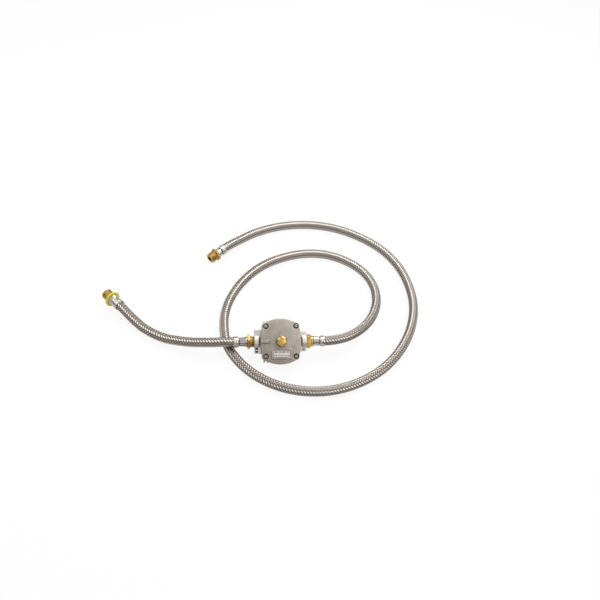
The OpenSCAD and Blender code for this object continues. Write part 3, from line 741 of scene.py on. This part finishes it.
def on_regulator(x, y, z):
    """A point in the regulator's frame, in millimetres, as a point of the scene."""
    return REGULATOR @ (Vector((x, y, z)) * MM)


print("the tower leans", round(math.degrees(tower.angle(Vector((0, 0, 1)))), 1), "degrees")

# %% [markdown]
# ## Ferrules
#
# A ferrule is a short steel cup that is crimped over the braid. The jaws leave a bulge between two shallow
# waists, and the mouth stands a little off the hose, so that a thin dark gap shows.

# %% Ferrules
MOUTH_R = 9.7
CUP_R = 10.3
WAIST_R = 9.85
TAIL_HOLE_R = 5.85


def ferrule(name, place, length, node):
    corners = [(0, MOUTH_R, 0.1), (0, 10.0, 0.2), (1.3, CUP_R, 0.8), (2.6, CUP_R, 0.6), (3.6, WAIST_R, 0.8),
               (4.8, CUP_R, 0.9), (length - 3.4, CUP_R, 0.9), (length - 2.6, 9.9, 0.8),
               (length - 1.7, 10.0, 0.7), (length, 8.9, 0.4), (length, TAIL_HOLE_R, 0),
               (2.6, TAIL_HOLE_R, 0), (2.6, MOUTH_R, 0.1)]
    return put(name, turned(place, corners), "bright_steel", node)


INLET_FERRULE, SUPPLY_FERRULE, OUTLET_FERRULE, APPLIANCE_FERRULE = 10, 12, 8, 10
short_pieces = [ferrule("crimp_inlet", AT_INLET, INLET_FERRULE, "inlet_ferrule"),
                ferrule("crimp_supply", AT_SUPPLY, SUPPLY_FERRULE, "supply_ferrule")]
long_pieces = [ferrule("crimp_outlet", AT_OUTLET, OUTLET_FERRULE, "outlet_ferrule"),
               ferrule("crimp_appliance", AT_APPLIANCE, APPLIANCE_FERRULE, "appliance_ferrule")]

# %% [markdown]
# ## Sleeves
#
# Behind each ferrule the nipple's own body shows as a plain silver sleeve: a narrow groove, the sleeve, and a
# collar that meets the brass. At the outlet a thin tube goes on from the collar to a lip inside the nut. On
# the supply end the sleeve widens in a cone.

# %% Nipples
BORE_R = 4.5
TAIL_R = 5.8
GROOVE_R = 7.4
SLEEVE_R = 8.5
COLLAR_R = 9.7
TUBE_R = 6
CONE_R = 10.8
CONE_END = 23
LIP_LOW, LIP_HIGH = 23.5, 24.5
LIP_R = 7.9
INLET_COLLAR, OUTLET_COLLAR, APPLIANCE_COLLAR = 25.2, 20, 21


def nipple(name, place, node, ferrule_end, rest):
    """A nipple from its hidden tail to the groove behind the ferrule, and then through the given corners."""
    corners = [(0, BORE_R, 0.2), (0, TAIL_R, 0.2), (ferrule_end, TAIL_R, 0), (ferrule_end, GROOVE_R, 0.1),
               *rest]
    return put(name, turned(place, [*corners, (corners[-1][0], BORE_R, 0.2)]), "bright_steel", node)


def sleeve(groove_end, sleeve_end, collar_end):
    return [(groove_end, GROOVE_R, 0.2), (groove_end, SLEEVE_R, 0.4), (sleeve_end, SLEEVE_R, 0.3),
            (sleeve_end, COLLAR_R, 0.4), (collar_end, COLLAR_R, 0.5)]


outlet_tube = [(OUTLET_COLLAR, TUBE_R, 0.1), (LIP_LOW, TUBE_R, 0), (LIP_LOW, LIP_R, 0.1),
               (LIP_HIGH, LIP_R, 0.1)]
cone = [(13, GROOVE_R, 0.3), (17, 7.8, 2), (21.5, CONE_R, 0.6), (CONE_END, CONE_R, 0.3)]
short_pieces.append(nipple("sleeve_inlet", AT_INLET, "inlet_nipple", INLET_FERRULE,
                           sleeve(11.2, 20.4, INLET_COLLAR)))
long_pieces.append(nipple("sleeve_outlet", AT_OUTLET, "outlet_nipple", OUTLET_FERRULE,
                          [*sleeve(10, 18.8, OUTLET_COLLAR), *outlet_tube]))
long_pieces.append(nipple("sleeve_appliance", AT_APPLIANCE, "appliance_nipple", APPLIANCE_FERRULE,
                          sleeve(11.5, 16.5, APPLIANCE_COLLAR)))
short_pieces.append(nipple("cone_supply", AT_SUPPLY, "supply_nipple", SUPPLY_FERRULE, cone))

# %% [markdown]
# ## Threaded brass ends
#
# The inlet and appliance fittings have a thin hexagon flange and a male pipe thread with a pitch of 1.81 mm.
# The flange is chamfered by the lathe, which leaves the round bite at each corner that every nut has. The
# supply fitting has no flange: its thread starts right after the yellow ring.

# %% Male fittings
THREAD_R = 10.3
PIPE_PITCH = 1.814
PIPE_DEPTH = 0.75
TIP_LENGTH = 1
TIP_CHAMFER = 1.1
FLANGE_FLATS = 25
FLANGE_OUT = 14.15
CHAMFER_OUT, CHAMFER_ALONG = 1.1, 0.7
SUPPLY_WAIST_R = 9
SUPPLY_SHOULDER = 26.42
SUPPLY_THREAD = (26.8, 43.7)


def pipe_thread(start, stop):
    """Corners of a male pipe thread with its chamfered tip."""
    return [*thread_rows(start, stop, THREAD_R, PIPE_PITCH), (stop, THREAD_R, 0.2),
            (stop + TIP_LENGTH, THREAD_R - TIP_CHAMFER, 0.2)]


def pipe_limit(start, stop):
    return threaded(THREAD_R, PIPE_PITCH, PIPE_DEPTH, start, stop)


def male_fitting(name, place, node, tail, flange_end, tip, bore):
    start, stop = flange_end + 0.6, tip - TIP_LENGTH
    corners = [(tail, bore, 0.2), (tail, FLANGE_OUT - CHAMFER_OUT, 0.15),
               (tail + CHAMFER_ALONG, FLANGE_OUT, 0.2), (flange_end - CHAMFER_ALONG, FLANGE_OUT, 0.2),
               (flange_end, FLANGE_OUT - CHAMFER_OUT, 0.15), (flange_end, THREAD_R - 0.6, 0.2),
               *pipe_thread(start, stop), (tip, bore, 0.3)]
    limit = both(hex_limit(FLANGE_FLATS, flange_end + 0.05), pipe_limit(start, stop))
    mesh = turned(place, corners, hex_angles(FLANGE_FLATS, FLANGE_OUT), limit)
    return weigh(put(name, mesh, "brass", node))


short_pieces.append(male_fitting("brass_inlet", AT_INLET, "inlet_fitting", INLET_COLLAR, 29.8, 50.4, BORE_R))
long_pieces.append(male_fitting("brass_appliance", AT_APPLIANCE, "appliance_fitting", APPLIANCE_COLLAR,
                                25, 40, TUBE_R))
supply_corners = [
    (CONE_END, TUBE_R, 0.2), (CONE_END, SUPPLY_WAIST_R, 0.2), (SUPPLY_SHOULDER, SUPPLY_WAIST_R, 0.1),
    (SUPPLY_SHOULDER, THREAD_R - 0.4, 0.1), *pipe_thread(*SUPPLY_THREAD),
    (SUPPLY_THREAD[1] + TIP_LENGTH, TUBE_R, 0.3)]
supply_mesh = turned(AT_SUPPLY, supply_corners, limit=pipe_limit(*SUPPLY_THREAD))
short_pieces.append(put("brass_supply", supply_mesh, "brass", "supply_fitting"))

# %% [markdown]
# ## The yellow ring
#
# The ring marks which end takes the gas supply. It is a moulded nylon washer with generous rounded rims.

# %% Yellow ring
PLAY = 0.06
RING_LOW, RING_HIGH = 23.02, 26.4
RING_R = 15.25
ring_corners = washer(RING_LOW, RING_HIGH, SUPPLY_WAIST_R + PLAY, RING_R, 0.3, 0.8)
short_pieces.append(put("ring_supply", turned(AT_SUPPLY, ring_corners), "yellow_plastic", "supply_ring"))

# %% [markdown]
# ## The swivel nut and its adapter
#
# At the outlet a nut holds the hose. It turns by itself, so it is a piece of its own on its own body. Its
# hexagon is chamfered on both faces, and a round neck reaches back over the hose tail. The adapter that it
# grips is screwed into the casing.

# %% Swivel nut and outlet adapter
NUT_FLATS = 23
NUT_OUT = 13.05
NUT_LOW, NUT_HIGH = 25.1, 32.7
NUT_CHAMFER_OUT, NUT_CHAMFER_ALONG = 1.2, 0.8
NECK_LOW = 20.5
NECK_R = 10.2
NUT_SEAT = 23.4
ADAPTER_R = 8
ADAPTER_SHOULDER = 33.1
ADAPTER_THREAD = (33.5, 45.1)

nut_corners = [
    (NECK_LOW, TUBE_R + PLAY, 0.1), (NECK_LOW, NECK_R, 0.6), (NUT_LOW, NECK_R, 0.2),
    (NUT_LOW, NUT_OUT - NUT_CHAMFER_OUT, 0.2), (NUT_LOW + NUT_CHAMFER_ALONG, NUT_OUT, 0.3),
    (NUT_HIGH - NUT_CHAMFER_ALONG, NUT_OUT, 0.3), (NUT_HIGH, NUT_OUT - NUT_CHAMFER_OUT, 0.2),
    (NUT_HIGH, ADAPTER_R + PLAY, 0.2), (NUT_SEAT, ADAPTER_R + PLAY, 0.1), (NUT_SEAT, TUBE_R + PLAY, 0.1)]
nut_mesh = turned(AT_OUTLET @ Matrix.Rotation(math.radians(30), 4, "Z"), nut_corners,
                  hex_angles(NUT_FLATS, NUT_OUT), hex_limit(NUT_FLATS))
weigh(put("nut_outlet", nut_mesh, "brass", "outlet_nut", body="swivel_nut"))

adapter_corners = [
    (LIP_HIGH, BORE_R, 0.2), (LIP_HIGH, ADAPTER_R, 0.2), (ADAPTER_SHOULDER, ADAPTER_R, 0.1),
    (ADAPTER_SHOULDER, THREAD_R - 0.4, 0.2), *pipe_thread(*ADAPTER_THREAD),
    (ADAPTER_THREAD[1] + TIP_LENGTH, BORE_R, 0.2)]
adapter_mesh = turned(AT_OUTLET, adapter_corners, limit=pipe_limit(*ADAPTER_THREAD))
put("brass_adapter", adapter_mesh, "brass", "outlet_adapter")

# %% [markdown]
# ## Declaring the hoses
#
# Each hose has a list of the pieces that go with it.

# %% Pieces of the hoses
print("pieces with the short hose:", len(short_pieces), "and with the long hose:", len(long_pieces))

# %% [markdown]
# ## The cap
#
# The cap closes the spring tower. It is a domed hexagon with a wide chamfer and a threaded shank, turned from
# hexagonal bar, and it rides on its own body, because it unscrews. The chamfer is a cone, so it needs a few
# rings of its own: where a flat cuts it, only those near the cut should move. A rubber gasket under the cap
# rises with it but doesn't turn.

# %% Seal cap
CAP_FLATS = 17
CAP_OUT = 9.7
CAP_LOW = 41
CAP_TOP = 50.5
DOME_R = 24
CHAMFER_FROM = 6.5
SHANK_R = 7.2
SHANK_LOW = CAP_LOW - 5
CAP_THREAD = (CAP_LOW - 4.2, CAP_LOW - 0.5)
CAP_PITCH = 1.5
CAP_DEPTH = 0.6
GASKET_LOW, GASKET_HIGH = CAP_LOW - 0.93, CAP_LOW - 0.07
GASKET_IN, GASKET_OUT = 7.32, 9.1


def dome(r):
    return CAP_TOP - DOME_R + math.sqrt(DOME_R**2 - r**2)


cap_chamfer = [(dome(CHAMFER_FROM) - (r - CHAMFER_FROM), r, 0)
               for r in np.linspace(CAP_OUT, CHAMFER_FROM + 0.3, 9)]
cap_dome = [(dome(r), r, rounding)
            for r, rounding in ((CHAMFER_FROM, 0.25), (CHAMFER_FROM - 0.5, 0), (4, 0.2), (1.8, 0.2))]
cap_corners = [(SHANK_LOW, 0, 0), (SHANK_LOW, SHANK_R - 0.9, 0.2), (CAP_THREAD[0], SHANK_R, 0),
               *thread_rows(CAP_THREAD[0], CAP_THREAD[1] - 0.1, SHANK_R, CAP_PITCH),
               (CAP_THREAD[1], SHANK_R, 0), (CAP_LOW, SHANK_R, 0.1), (CAP_LOW, CAP_OUT - 0.7, 0.15),
               (CAP_LOW + 0.5, CAP_OUT, 0.2), *cap_chamfer, *cap_dome, (CAP_TOP, 0, 0)]
cap_limit = both(hex_limit(CAP_FLATS), threaded(SHANK_R, CAP_PITCH, CAP_DEPTH, *CAP_THREAD))
cap_mesh = turned(REGULATOR, cap_corners, hex_angles(CAP_FLATS, CAP_OUT), cap_limit)
weigh(put("cap_brass", cap_mesh, "brass", "seal_cap", body="cap"))
gasket_corners = washer(GASKET_LOW, GASKET_HIGH, GASKET_IN, GASKET_OUT, 0.2, 0.3)
put("gasket_cap", turned(REGULATOR, gasket_corners), "black_rubber", "cap_gasket", body="cap_carrier")

# %% [markdown]
# ## The two castings
#
# A casting has no sharp edges: the die is rounded so that the metal fills it. Rounding each edge of the solid
# by hand would be long, so the solid is turned into a fine even grid of small faces, a voxel remesh, and that
# grid is smoothed until edges are about a millimetre round. What must stay crisp, such as the screws and the
# label, are pieces of their own.

# %% Castings
VOXEL = 0.6


def casting(node, rounds):
    """The solid of a node, remade as an even grid in the regulator's frame and smoothed."""
    bm = bmesh.new()
    bm.from_mesh(frame["nodes"][node].data)
    bmesh.ops.remove_doubles(bm, verts=bm.verts, dist=0.01 * MM)
    bm.transform(REGULATOR.inverted())
    work = new_object("work", mesh_of(bm))
    modify(work, "REMESH", mode="VOXEL", voxel_size=VOXEL * MM)
    modify(work, "SMOOTH", iterations=rounds, factor=0.5)
    grid = applied(work)
    grid.transform(REGULATOR)
    grid.shade_smooth()
    return grid


put("body_casting", casting("regulator_body", 9), "cast_body", "regulator_body")
put("cover_casting", casting("regulator_cover", 7), "cast_cover", "regulator_cover")

# %% [markdown]
# ## Cover screws
#
# Four pan-head screws with a cross slot sit in round pockets. The head is turned, and the cross is cut out
# with a boolean, whose cutter is two crossed bars.

# %% Cover screws
SCREW_AT = 27.3
SCREW_LOW = 10.8
SHAFT_R = 2.3
POCKET_FLOOR = 18.5
HEAD_R = 3.75
HEAD_TOP = 21.5
SLOT = Vector((5, 1.25, 3)) * MM


def screw_mesh():
    corners = [(SCREW_LOW, 0, 0), (SCREW_LOW, SHAFT_R, 0.3), (POCKET_FLOOR, SHAFT_R, 0.1),
               (POCKET_FLOOR, HEAD_R, 0.2), (20.2, HEAD_R, 0.7), (21.05, 2.8, 0.6), (HEAD_TOP, 1.3, 0.5),
               (HEAD_TOP, 0, 0)]
    head = new_object("head", turned(Matrix(), corners, EVEN_ANGLES[::2]))
    bars = bmesh.new()
    for turn in (30, 120):
        place = Matrix.Translation((0, 0, HEAD_TOP * MM)) @ Matrix.Rotation(math.radians(turn), 4, "Z")
        bmesh.ops.create_cube(bars, size=1, matrix=place @ Matrix.Diagonal((*SLOT, 1)))
    cross = new_object("cross", mesh_of(bars))
    modify(head, "BOOLEAN", object=cross, solver="EXACT", use_self=True)
    modify(head, "BEVEL", width=0.12 * MM, segments=2, angle_limit=math.radians(50))
    return applied(head, cross)


one_screw = screw_mesh()
all_screws = bmesh.new()
for x in (-SCREW_AT, SCREW_AT):
    for y in (-SCREW_AT, SCREW_AT):
        placed = one_screw.copy()
        placed.transform(REGULATOR @ Matrix.Translation(Vector((x, y, 0)) * MM))
        all_screws.from_mesh(placed)
put("pan_head_screws", smooth(mesh_of(all_screws)), "screw_steel", "cover_screws")

# %% [markdown]
# ## Label and flow arrows
#
# The label sits in a raised frame on the cover. It says nothing here: two rows of plain marks stand where the
# print would be. Two small raised arrows on the port blocks show which way the gas flows, which is the one
# thing that anyone who fits a regulator must see.

# %% Flat shapes
def box_outline(x, y, w, h, corner, steps=5):
    """A rectangle with round corners about the point x, y."""
    points = []
    for k, (sx, sy) in enumerate(((1, 1), (-1, 1), (-1, -1), (1, -1))):
        for angle in np.radians(np.linspace(90 * k, 90 * k + 90, steps)):
            points.append((x + sx * (w / 2 - corner) + corner * math.cos(angle),
                           y + sy * (h / 2 - corner) + corner * math.sin(angle)))
    return points


def flat_piece(name, outlines, low, high, edge, slot, *nodes, finish=None):
    """A piece of one or more slabs in the regulator's frame, with slightly rounded edges."""
    bm = bmesh.new()
    for outline in outlines:
        bottom, top = [[bm.verts.new(on_regulator(x, y, z)) for x, y in outline] for z in (low, high)]
        bm.faces.new(top)
        bm.faces.new(bottom[::-1])
        for j in range(len(outline)):
            bm.faces.new((bottom[j - 1], bottom[j], top[j], top[j - 1]))
    rim = [e for e in bm.edges if e.calc_face_angle(0) > math.radians(60)]
    bmesh.ops.bevel(bm, geom=rim, offset=edge * MM, segments=2, affect="EDGES", profile=0.5)
    return weigh(put(name, smooth(mesh_of(bm)), slot, *nodes, finish=finish))


print("points of a rounded rectangle:", len(box_outline(0, 0, 2, 2, 1)))

# %% Label plate and its marks
LABEL_X, LABEL_Y = 0.8, -22.4
LABEL_W, LABEL_H = 31.9, 13.5
LABEL_FLOOR = 24.1
LABEL_TOP = LABEL_FLOOR + 0.7
DASHES = [3.2, 1.6, 2.4, 1.6, 3.2, 1.6, 2.4]
DASH_H = 2.2
GAP = 1.5
DASH_ROW, DOT_ROW = 3.2, -3.2
DOTS = 9
DOT = 1.6
DOT_STEP = 3.1
LINE = 0.6
BORDER = 0.9

flat_piece("label_face", [box_outline(LABEL_X, LABEL_Y, LABEL_W, LABEL_H, 1)], LABEL_FLOOR + 0.02,
           LABEL_TOP, 0.12, "label_metal", "label_plate")
marks = []
start = LABEL_X - (sum(DASHES) + GAP * (len(DASHES) - 1)) / 2
for width in DASHES:
    marks.append(box_outline(start + width / 2, LABEL_Y + DASH_ROW, width, DASH_H, 0.4, 3))
    start += width + GAP
for step in range(DOTS):
    x = LABEL_X + (step - (DOTS - 1) / 2) * DOT_STEP
    marks.append(box_outline(x, LABEL_Y + DOT_ROW, DOT, DOT, DOT / 2 - 0.01, 4))
for side in (-1, 1):
    across = side * (LABEL_W / 2 - BORDER)
    marks.append(box_outline(LABEL_X + across, LABEL_Y, LINE, LABEL_H - 4 * LINE, 0.2, 3))
    up = side * (LABEL_H / 2 - BORDER)
    marks.append(box_outline(LABEL_X, LABEL_Y + up, LABEL_W - 4 * LINE, LINE, 0.2, 3))
flat_piece("label_marks", marks, LABEL_TOP - 0.05, LABEL_TOP + 0.06, 0.02, "black_rubber", finish=INK)

# %% Flow arrows
ARROW = [(-2.8, -0.6), (0.4, -0.6), (0.4, -1.7), (2.8, 0), (0.4, 1.7), (0.4, 0.6), (-2.8, 0.6)]
OUT_X, OUT_Y = 41.5, -14.5
IN_X, IN_Y = -43.2, -15.7


def arrow_at(x, y, scale=1):
    return [(x + scale * dx, y + scale * dy) for dx, dy in ARROW]


flat_piece("flow_arrow_out", [arrow_at(OUT_X, OUT_Y)], 11.3, 12.0, 0.15, "black_rubber", finish=INK)
# Painted shade: this dark slab stands for the shade in a recessed panel on the inlet block.
flat_piece("shaded_panel_in", [box_outline(IN_X, IN_Y, 6, 10, 0.8)], 10.5, 10.85, 0.1, "black_rubber",
           finish=INK)
flat_piece("flow_arrow_in", [arrow_at(IN_X, IN_Y, 0.75)], 10.6, 11.3, 0.15, "cast_body")

# %% [markdown]
# ## The rim of the diaphragm
#
# The diaphragm is a rubber sheet. Its rim is clamped between the castings and shows as a dark line, its
# middle rides on the plates, and a soft roll between them bends when the valve lifts. The rim keeps the shape
# of the solid, whose middle is cut away.

# %% Diaphragm rim
SHEET_LOW, SHEET_HIGH = 12, 13.2
SHEET_FREE_R = 29.5
CUTTER_HEIGHT = 12


def rim_mesh():
    """The diaphragm's solid without its middle."""
    rim = new_object("rim", frame["nodes"]["diaphragm"].data.copy())
    disc = bmesh.new()
    bmesh.ops.create_cone(disc, cap_ends=True, segments=96, radius1=SHEET_FREE_R * MM,
                          radius2=SHEET_FREE_R * MM, depth=CUTTER_HEIGHT * MM,
                          matrix=REGULATOR @ Matrix.Translation((0, 0, SHEET_LOW * MM)))
    middle = new_object("middle", mesh_of(disc))
    modify(rim, "WELD", merge_threshold=0.01 * MM)
    modify(rim, "BOOLEAN", object=middle, solver="EXACT")
    return smooth(applied(rim, middle))


put("diaphragm_rim", rim_mesh(), "black_rubber", "diaphragm")

# %% [markdown]
# ## The sheet that bends
#
# A rigid sheet would be cut by the plates. A blend lets a mesh follow one body at its start and another at
# its end, but only along a straight line, and this sheet bends along every radius. So it is cut into gores
# like a cake, each round its own middle, and here no gore gets a body.

# %% Diaphragm gores
STEM_R = 1.55
ROLL_R = 26
ROLL_HALF = 2.5
ROLL_RISE = 1.2
BEND_FROM, BEND_TO = 20.3, 26.8
GORES = 8


def sheet_corners():
    """Corners of the whole sheet, from the stem out to the rim and back, with the roll between."""
    out = np.arange(BEND_FROM - 1, SHEET_FREE_R + 0.01, 0.6)
    roll = ROLL_RISE / 2 * (1 + np.cos(np.pi * np.clip((out - ROLL_R) / ROLL_HALF, -1, 1)))
    under = [(SHEET_LOW + rise, r, 0) for r, rise in zip(out, roll)]
    over = [(SHEET_HIGH + rise, r, 0) for r, rise in zip(out, roll)]
    return [(SHEET_LOW, STEM_R, 0), *under, *over[::-1], (SHEET_HIGH, STEM_R, 0)]


def gore_mesh(sheet, middle):
    """The faces of the sheet whose direction is nearer than half a gore to the gore's middle."""
    bm = bmesh.new()
    bm.from_mesh(sheet)
    to_tower = REGULATOR.inverted()
    away = [face for face in bm.faces
            if (to_tower @ face.calc_center_median()).xy.angle(middle) > math.pi / GORES]
    bmesh.ops.delete(bm, geom=away, context="FACES")
    mesh = mesh_of(bm)
    mesh.shade_smooth()
    return mesh


whole_sheet = turned(REGULATOR, sheet_corners())
for number in range(GORES):
    turn = 2 * math.pi * (number + 0.5) / GORES
    x, y = math.cos(turn), math.sin(turn)
    mesh = gore_mesh(whole_sheet, Vector((x, y)))
    gore = put(f"diaphragm_gore_{number + 1}", mesh, "black_rubber", body=None)
    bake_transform(gore)

# %% [markdown]
# ## The main spring
#
# The spring stands on the plates and the adjusting screw presses on it, so both its ends move. A blend works
# across one joint, so the coil is cut in two at a height that stands still, the lower part towards the valve
# and the upper part towards the screw; here neither part gets a body. The wire is thinner and the turns are
# fewer than in the solid, which leaves the coils room to close.

# %% Main spring
SPRING_LOW, SPRING_HIGH = 14.4, 28
SPRING_STILL = 19.84
SPRING_R = 5.8
WIRE_R = 0.6
TURNS = 4


def coil(low, high):
    """Mesh of the spring's wire while its middle climbs from low to high."""
    foot, head = SPRING_LOW + WIRE_R, SPRING_HIGH - WIRE_R
    climb = np.linspace(max(low, foot), min(high, head), 81)[:, None]
    turn = 2 * np.pi * TURNS * (climb - foot) / (head - foot)
    about = np.linspace(0, 2 * np.pi, 12, endpoint=False)
    out = SPRING_R + WIRE_R * np.cos(about)
    spots = np.stack([out * np.cos(turn), out * np.sin(turn), climb + WIRE_R * np.sin(about)], 2)
    rows, around = spots.shape[:2]
    faces = [(i * around + j, (i + 1) * around + j, (i + 1) * around + (j + 1) % around,
              i * around + (j + 1) % around) for i in range(rows - 1) for j in range(around)]
    ends = [tuple(range(around)), tuple(range(rows * around - 1, (rows - 1) * around - 1, -1))]
    mesh = bpy.data.meshes.new("coil")
    mesh.from_pydata((spots * MM).reshape(-1, 3).tolist(), [], faces + ends)
    mesh.transform(REGULATOR)
    return smooth(mesh)


spring_lower = put("spring_lower", coil(SPRING_LOW, SPRING_STILL), "plain_steel", "main_spring", body=None)
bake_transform(spring_lower)
spring_upper = put("spring_upper", coil(SPRING_STILL, SPRING_HIGH), "plain_steel", "main_spring", body=None)
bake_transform(spring_upper)

# %% [markdown]
# ## The pieces that keep their solids
#
# The rest of the works shows only when the object is taken apart, so its solids are fine as they are. Each
# gets the finish of its slot, and those that can be seen through an opening also get a small bevel.

# %% Finishes for the solids
BEVELLED = ("bottom_plug", "adjusting_screw", "bottom_plug_seal")
for part in frame["record"]["subparts"]:
    solid = frame["nodes"][part["node"]]
    solid.data.materials.clear()
    solid.data.materials.append(FINISH[part["material_slot"]])
    if part["node"] in BEVELLED:
        modify(solid, "WELD", merge_threshold=0.01 * MM)
        modify(solid, "BEVEL", width=0.3 * MM, segments=3)
print("solids that still show:", sum(not solid.hide_render for solid in frame["nodes"].values()))

# %% [markdown]
# ## Floor
#
# The object lies on a pale floor in a bright room. What the camera sees of the floor is mostly its own light,
# so that it is nearly white and still keeps a faint shadow. To the rays that only carry light it is plain
# matt paint, because otherwise it would light the object from below.

# %% Floor
OWN_LIGHT = 0.9
FLOOR_DROP = 0.2


def seen_share(tree):
    """1 for a ray from the camera, a reflection or a transparent thing, 0 for one that only carries light."""
    ray = add(tree, "LightPath")
    seen = add(tree, "Math", {0: ray.outputs["Is Camera Ray"], 1: ray.outputs["Is Glossy Ray"]},
               operation="MAXIMUM")
    return add(tree, "Math", {0: seen, 1: ray.outputs["Is Transmission Ray"]}, operation="MAXIMUM")


def pale_floor(tree):
    share = add(tree, "Math", {0: seen_share(tree), 1: OWN_LIGHT}, operation="MULTIPLY")
    matt = add(tree, "BsdfDiffuse", {"Color": "#F2F1EF"})
    glow = add(tree, "Emission", {"Color": "#FFFFFF", "Strength": 1.0})
    return add(tree, "MixShader", {0: share, 1: matt, 2: glow})


def stage_plane(name, size, place, material):
    mesh = bpy.data.meshes.new(name)
    w, h = size[0] / 2, size[1] / 2
    mesh.from_pydata([(-w, -h, 0), (w, -h, 0), (w, h, 0), (-w, h, 0)], [], [(0, 1, 2, 3)])
    mesh.materials.append(material)
    plane = new_object(name, mesh)
    plane.matrix_world = place
    return plane


stage_plane("floor", (12, 12), Matrix.Translation((0, 0.1, -FLOOR_DROP * MM)),
            new_material("pale_floor", pale_floor))
print("floor under the object,", FLOOR_DROP, "mm below it")

# %% [markdown]
# ## Lamps, boards and sky
#
# A large soft lamp stands behind on the right, and two weaker ones in front on the right and at the left.
# Metals show what is around them, so four dark boards stand round the object, outside the picture and seen
# only in reflections: without them, every metal here would be plain white. Their sizes and places are in
# metres. The sky is white where it is seen or mirrored, and gives less than half of that as light.

# %% Lamps and boards
AIM = (0, 0.14, 0.02)
BOARD_SIZE = (2.6, 0.7)
BOARD_DISTANCE = 2.4
BOARD_MIDDLE = 0.45


def soft_lamp(name, place, size, power):
    data = bpy.data.lights.new(name, "AREA")
    data.shape = "DISK"
    data.size = size
    data.energy = power
    lamp = new_object(name, data)
    lamp.location = place
    lamp.rotation_euler = (Vector(AIM) - Vector(place)).to_track_quat("-Z", "Y").to_euler()


def dark_board(tree):
    return add(tree, "BsdfDiffuse", {"Color": "#2A2826"})


soft_lamp("key_lamp", (0.7, 0.9, 1.5), 1.6, 26)
soft_lamp("fill_lamp", (1.1, -0.7, 1.1), 1.2, 7)
soft_lamp("left_lamp", (-1.1, 0.4, 1.1), 1.8, 9)
DARK = new_material("dark_board", dark_board)
for turn in (0, 90, 180, 270):
    place = (Matrix.Translation((AIM[0], AIM[1], 0)) @ Matrix.Rotation(math.radians(turn), 4, "Z")
             @ Matrix.Translation((0, BOARD_DISTANCE, BOARD_MIDDLE))
             @ Matrix.Rotation(math.radians(90), 4, "X"))
    board = stage_plane(f"board_{turn}", BOARD_SIZE, place, DARK)
    board.visible_camera = False
    board.visible_diffuse = False
    board.visible_shadow = False
print("lamps:", len(bpy.data.lights))

# %% Sky
SKY_LIGHT = 0.45
world = bpy.data.worlds.new("studio")
bpy.context.scene.world = world
world.use_nodes = True
sky = world.node_tree
sky.nodes.clear()
strength = add(sky, "MapRange", {"Value": seen_share(sky), "To Min": SKY_LIGHT, "To Max": 1.0})
light = add(sky, "Background", {"Color": "#FFFFFF", "Strength": strength})
add(sky, "OutputWorld", {"Surface": light})
print("light of the sky:", SKY_LIGHT)
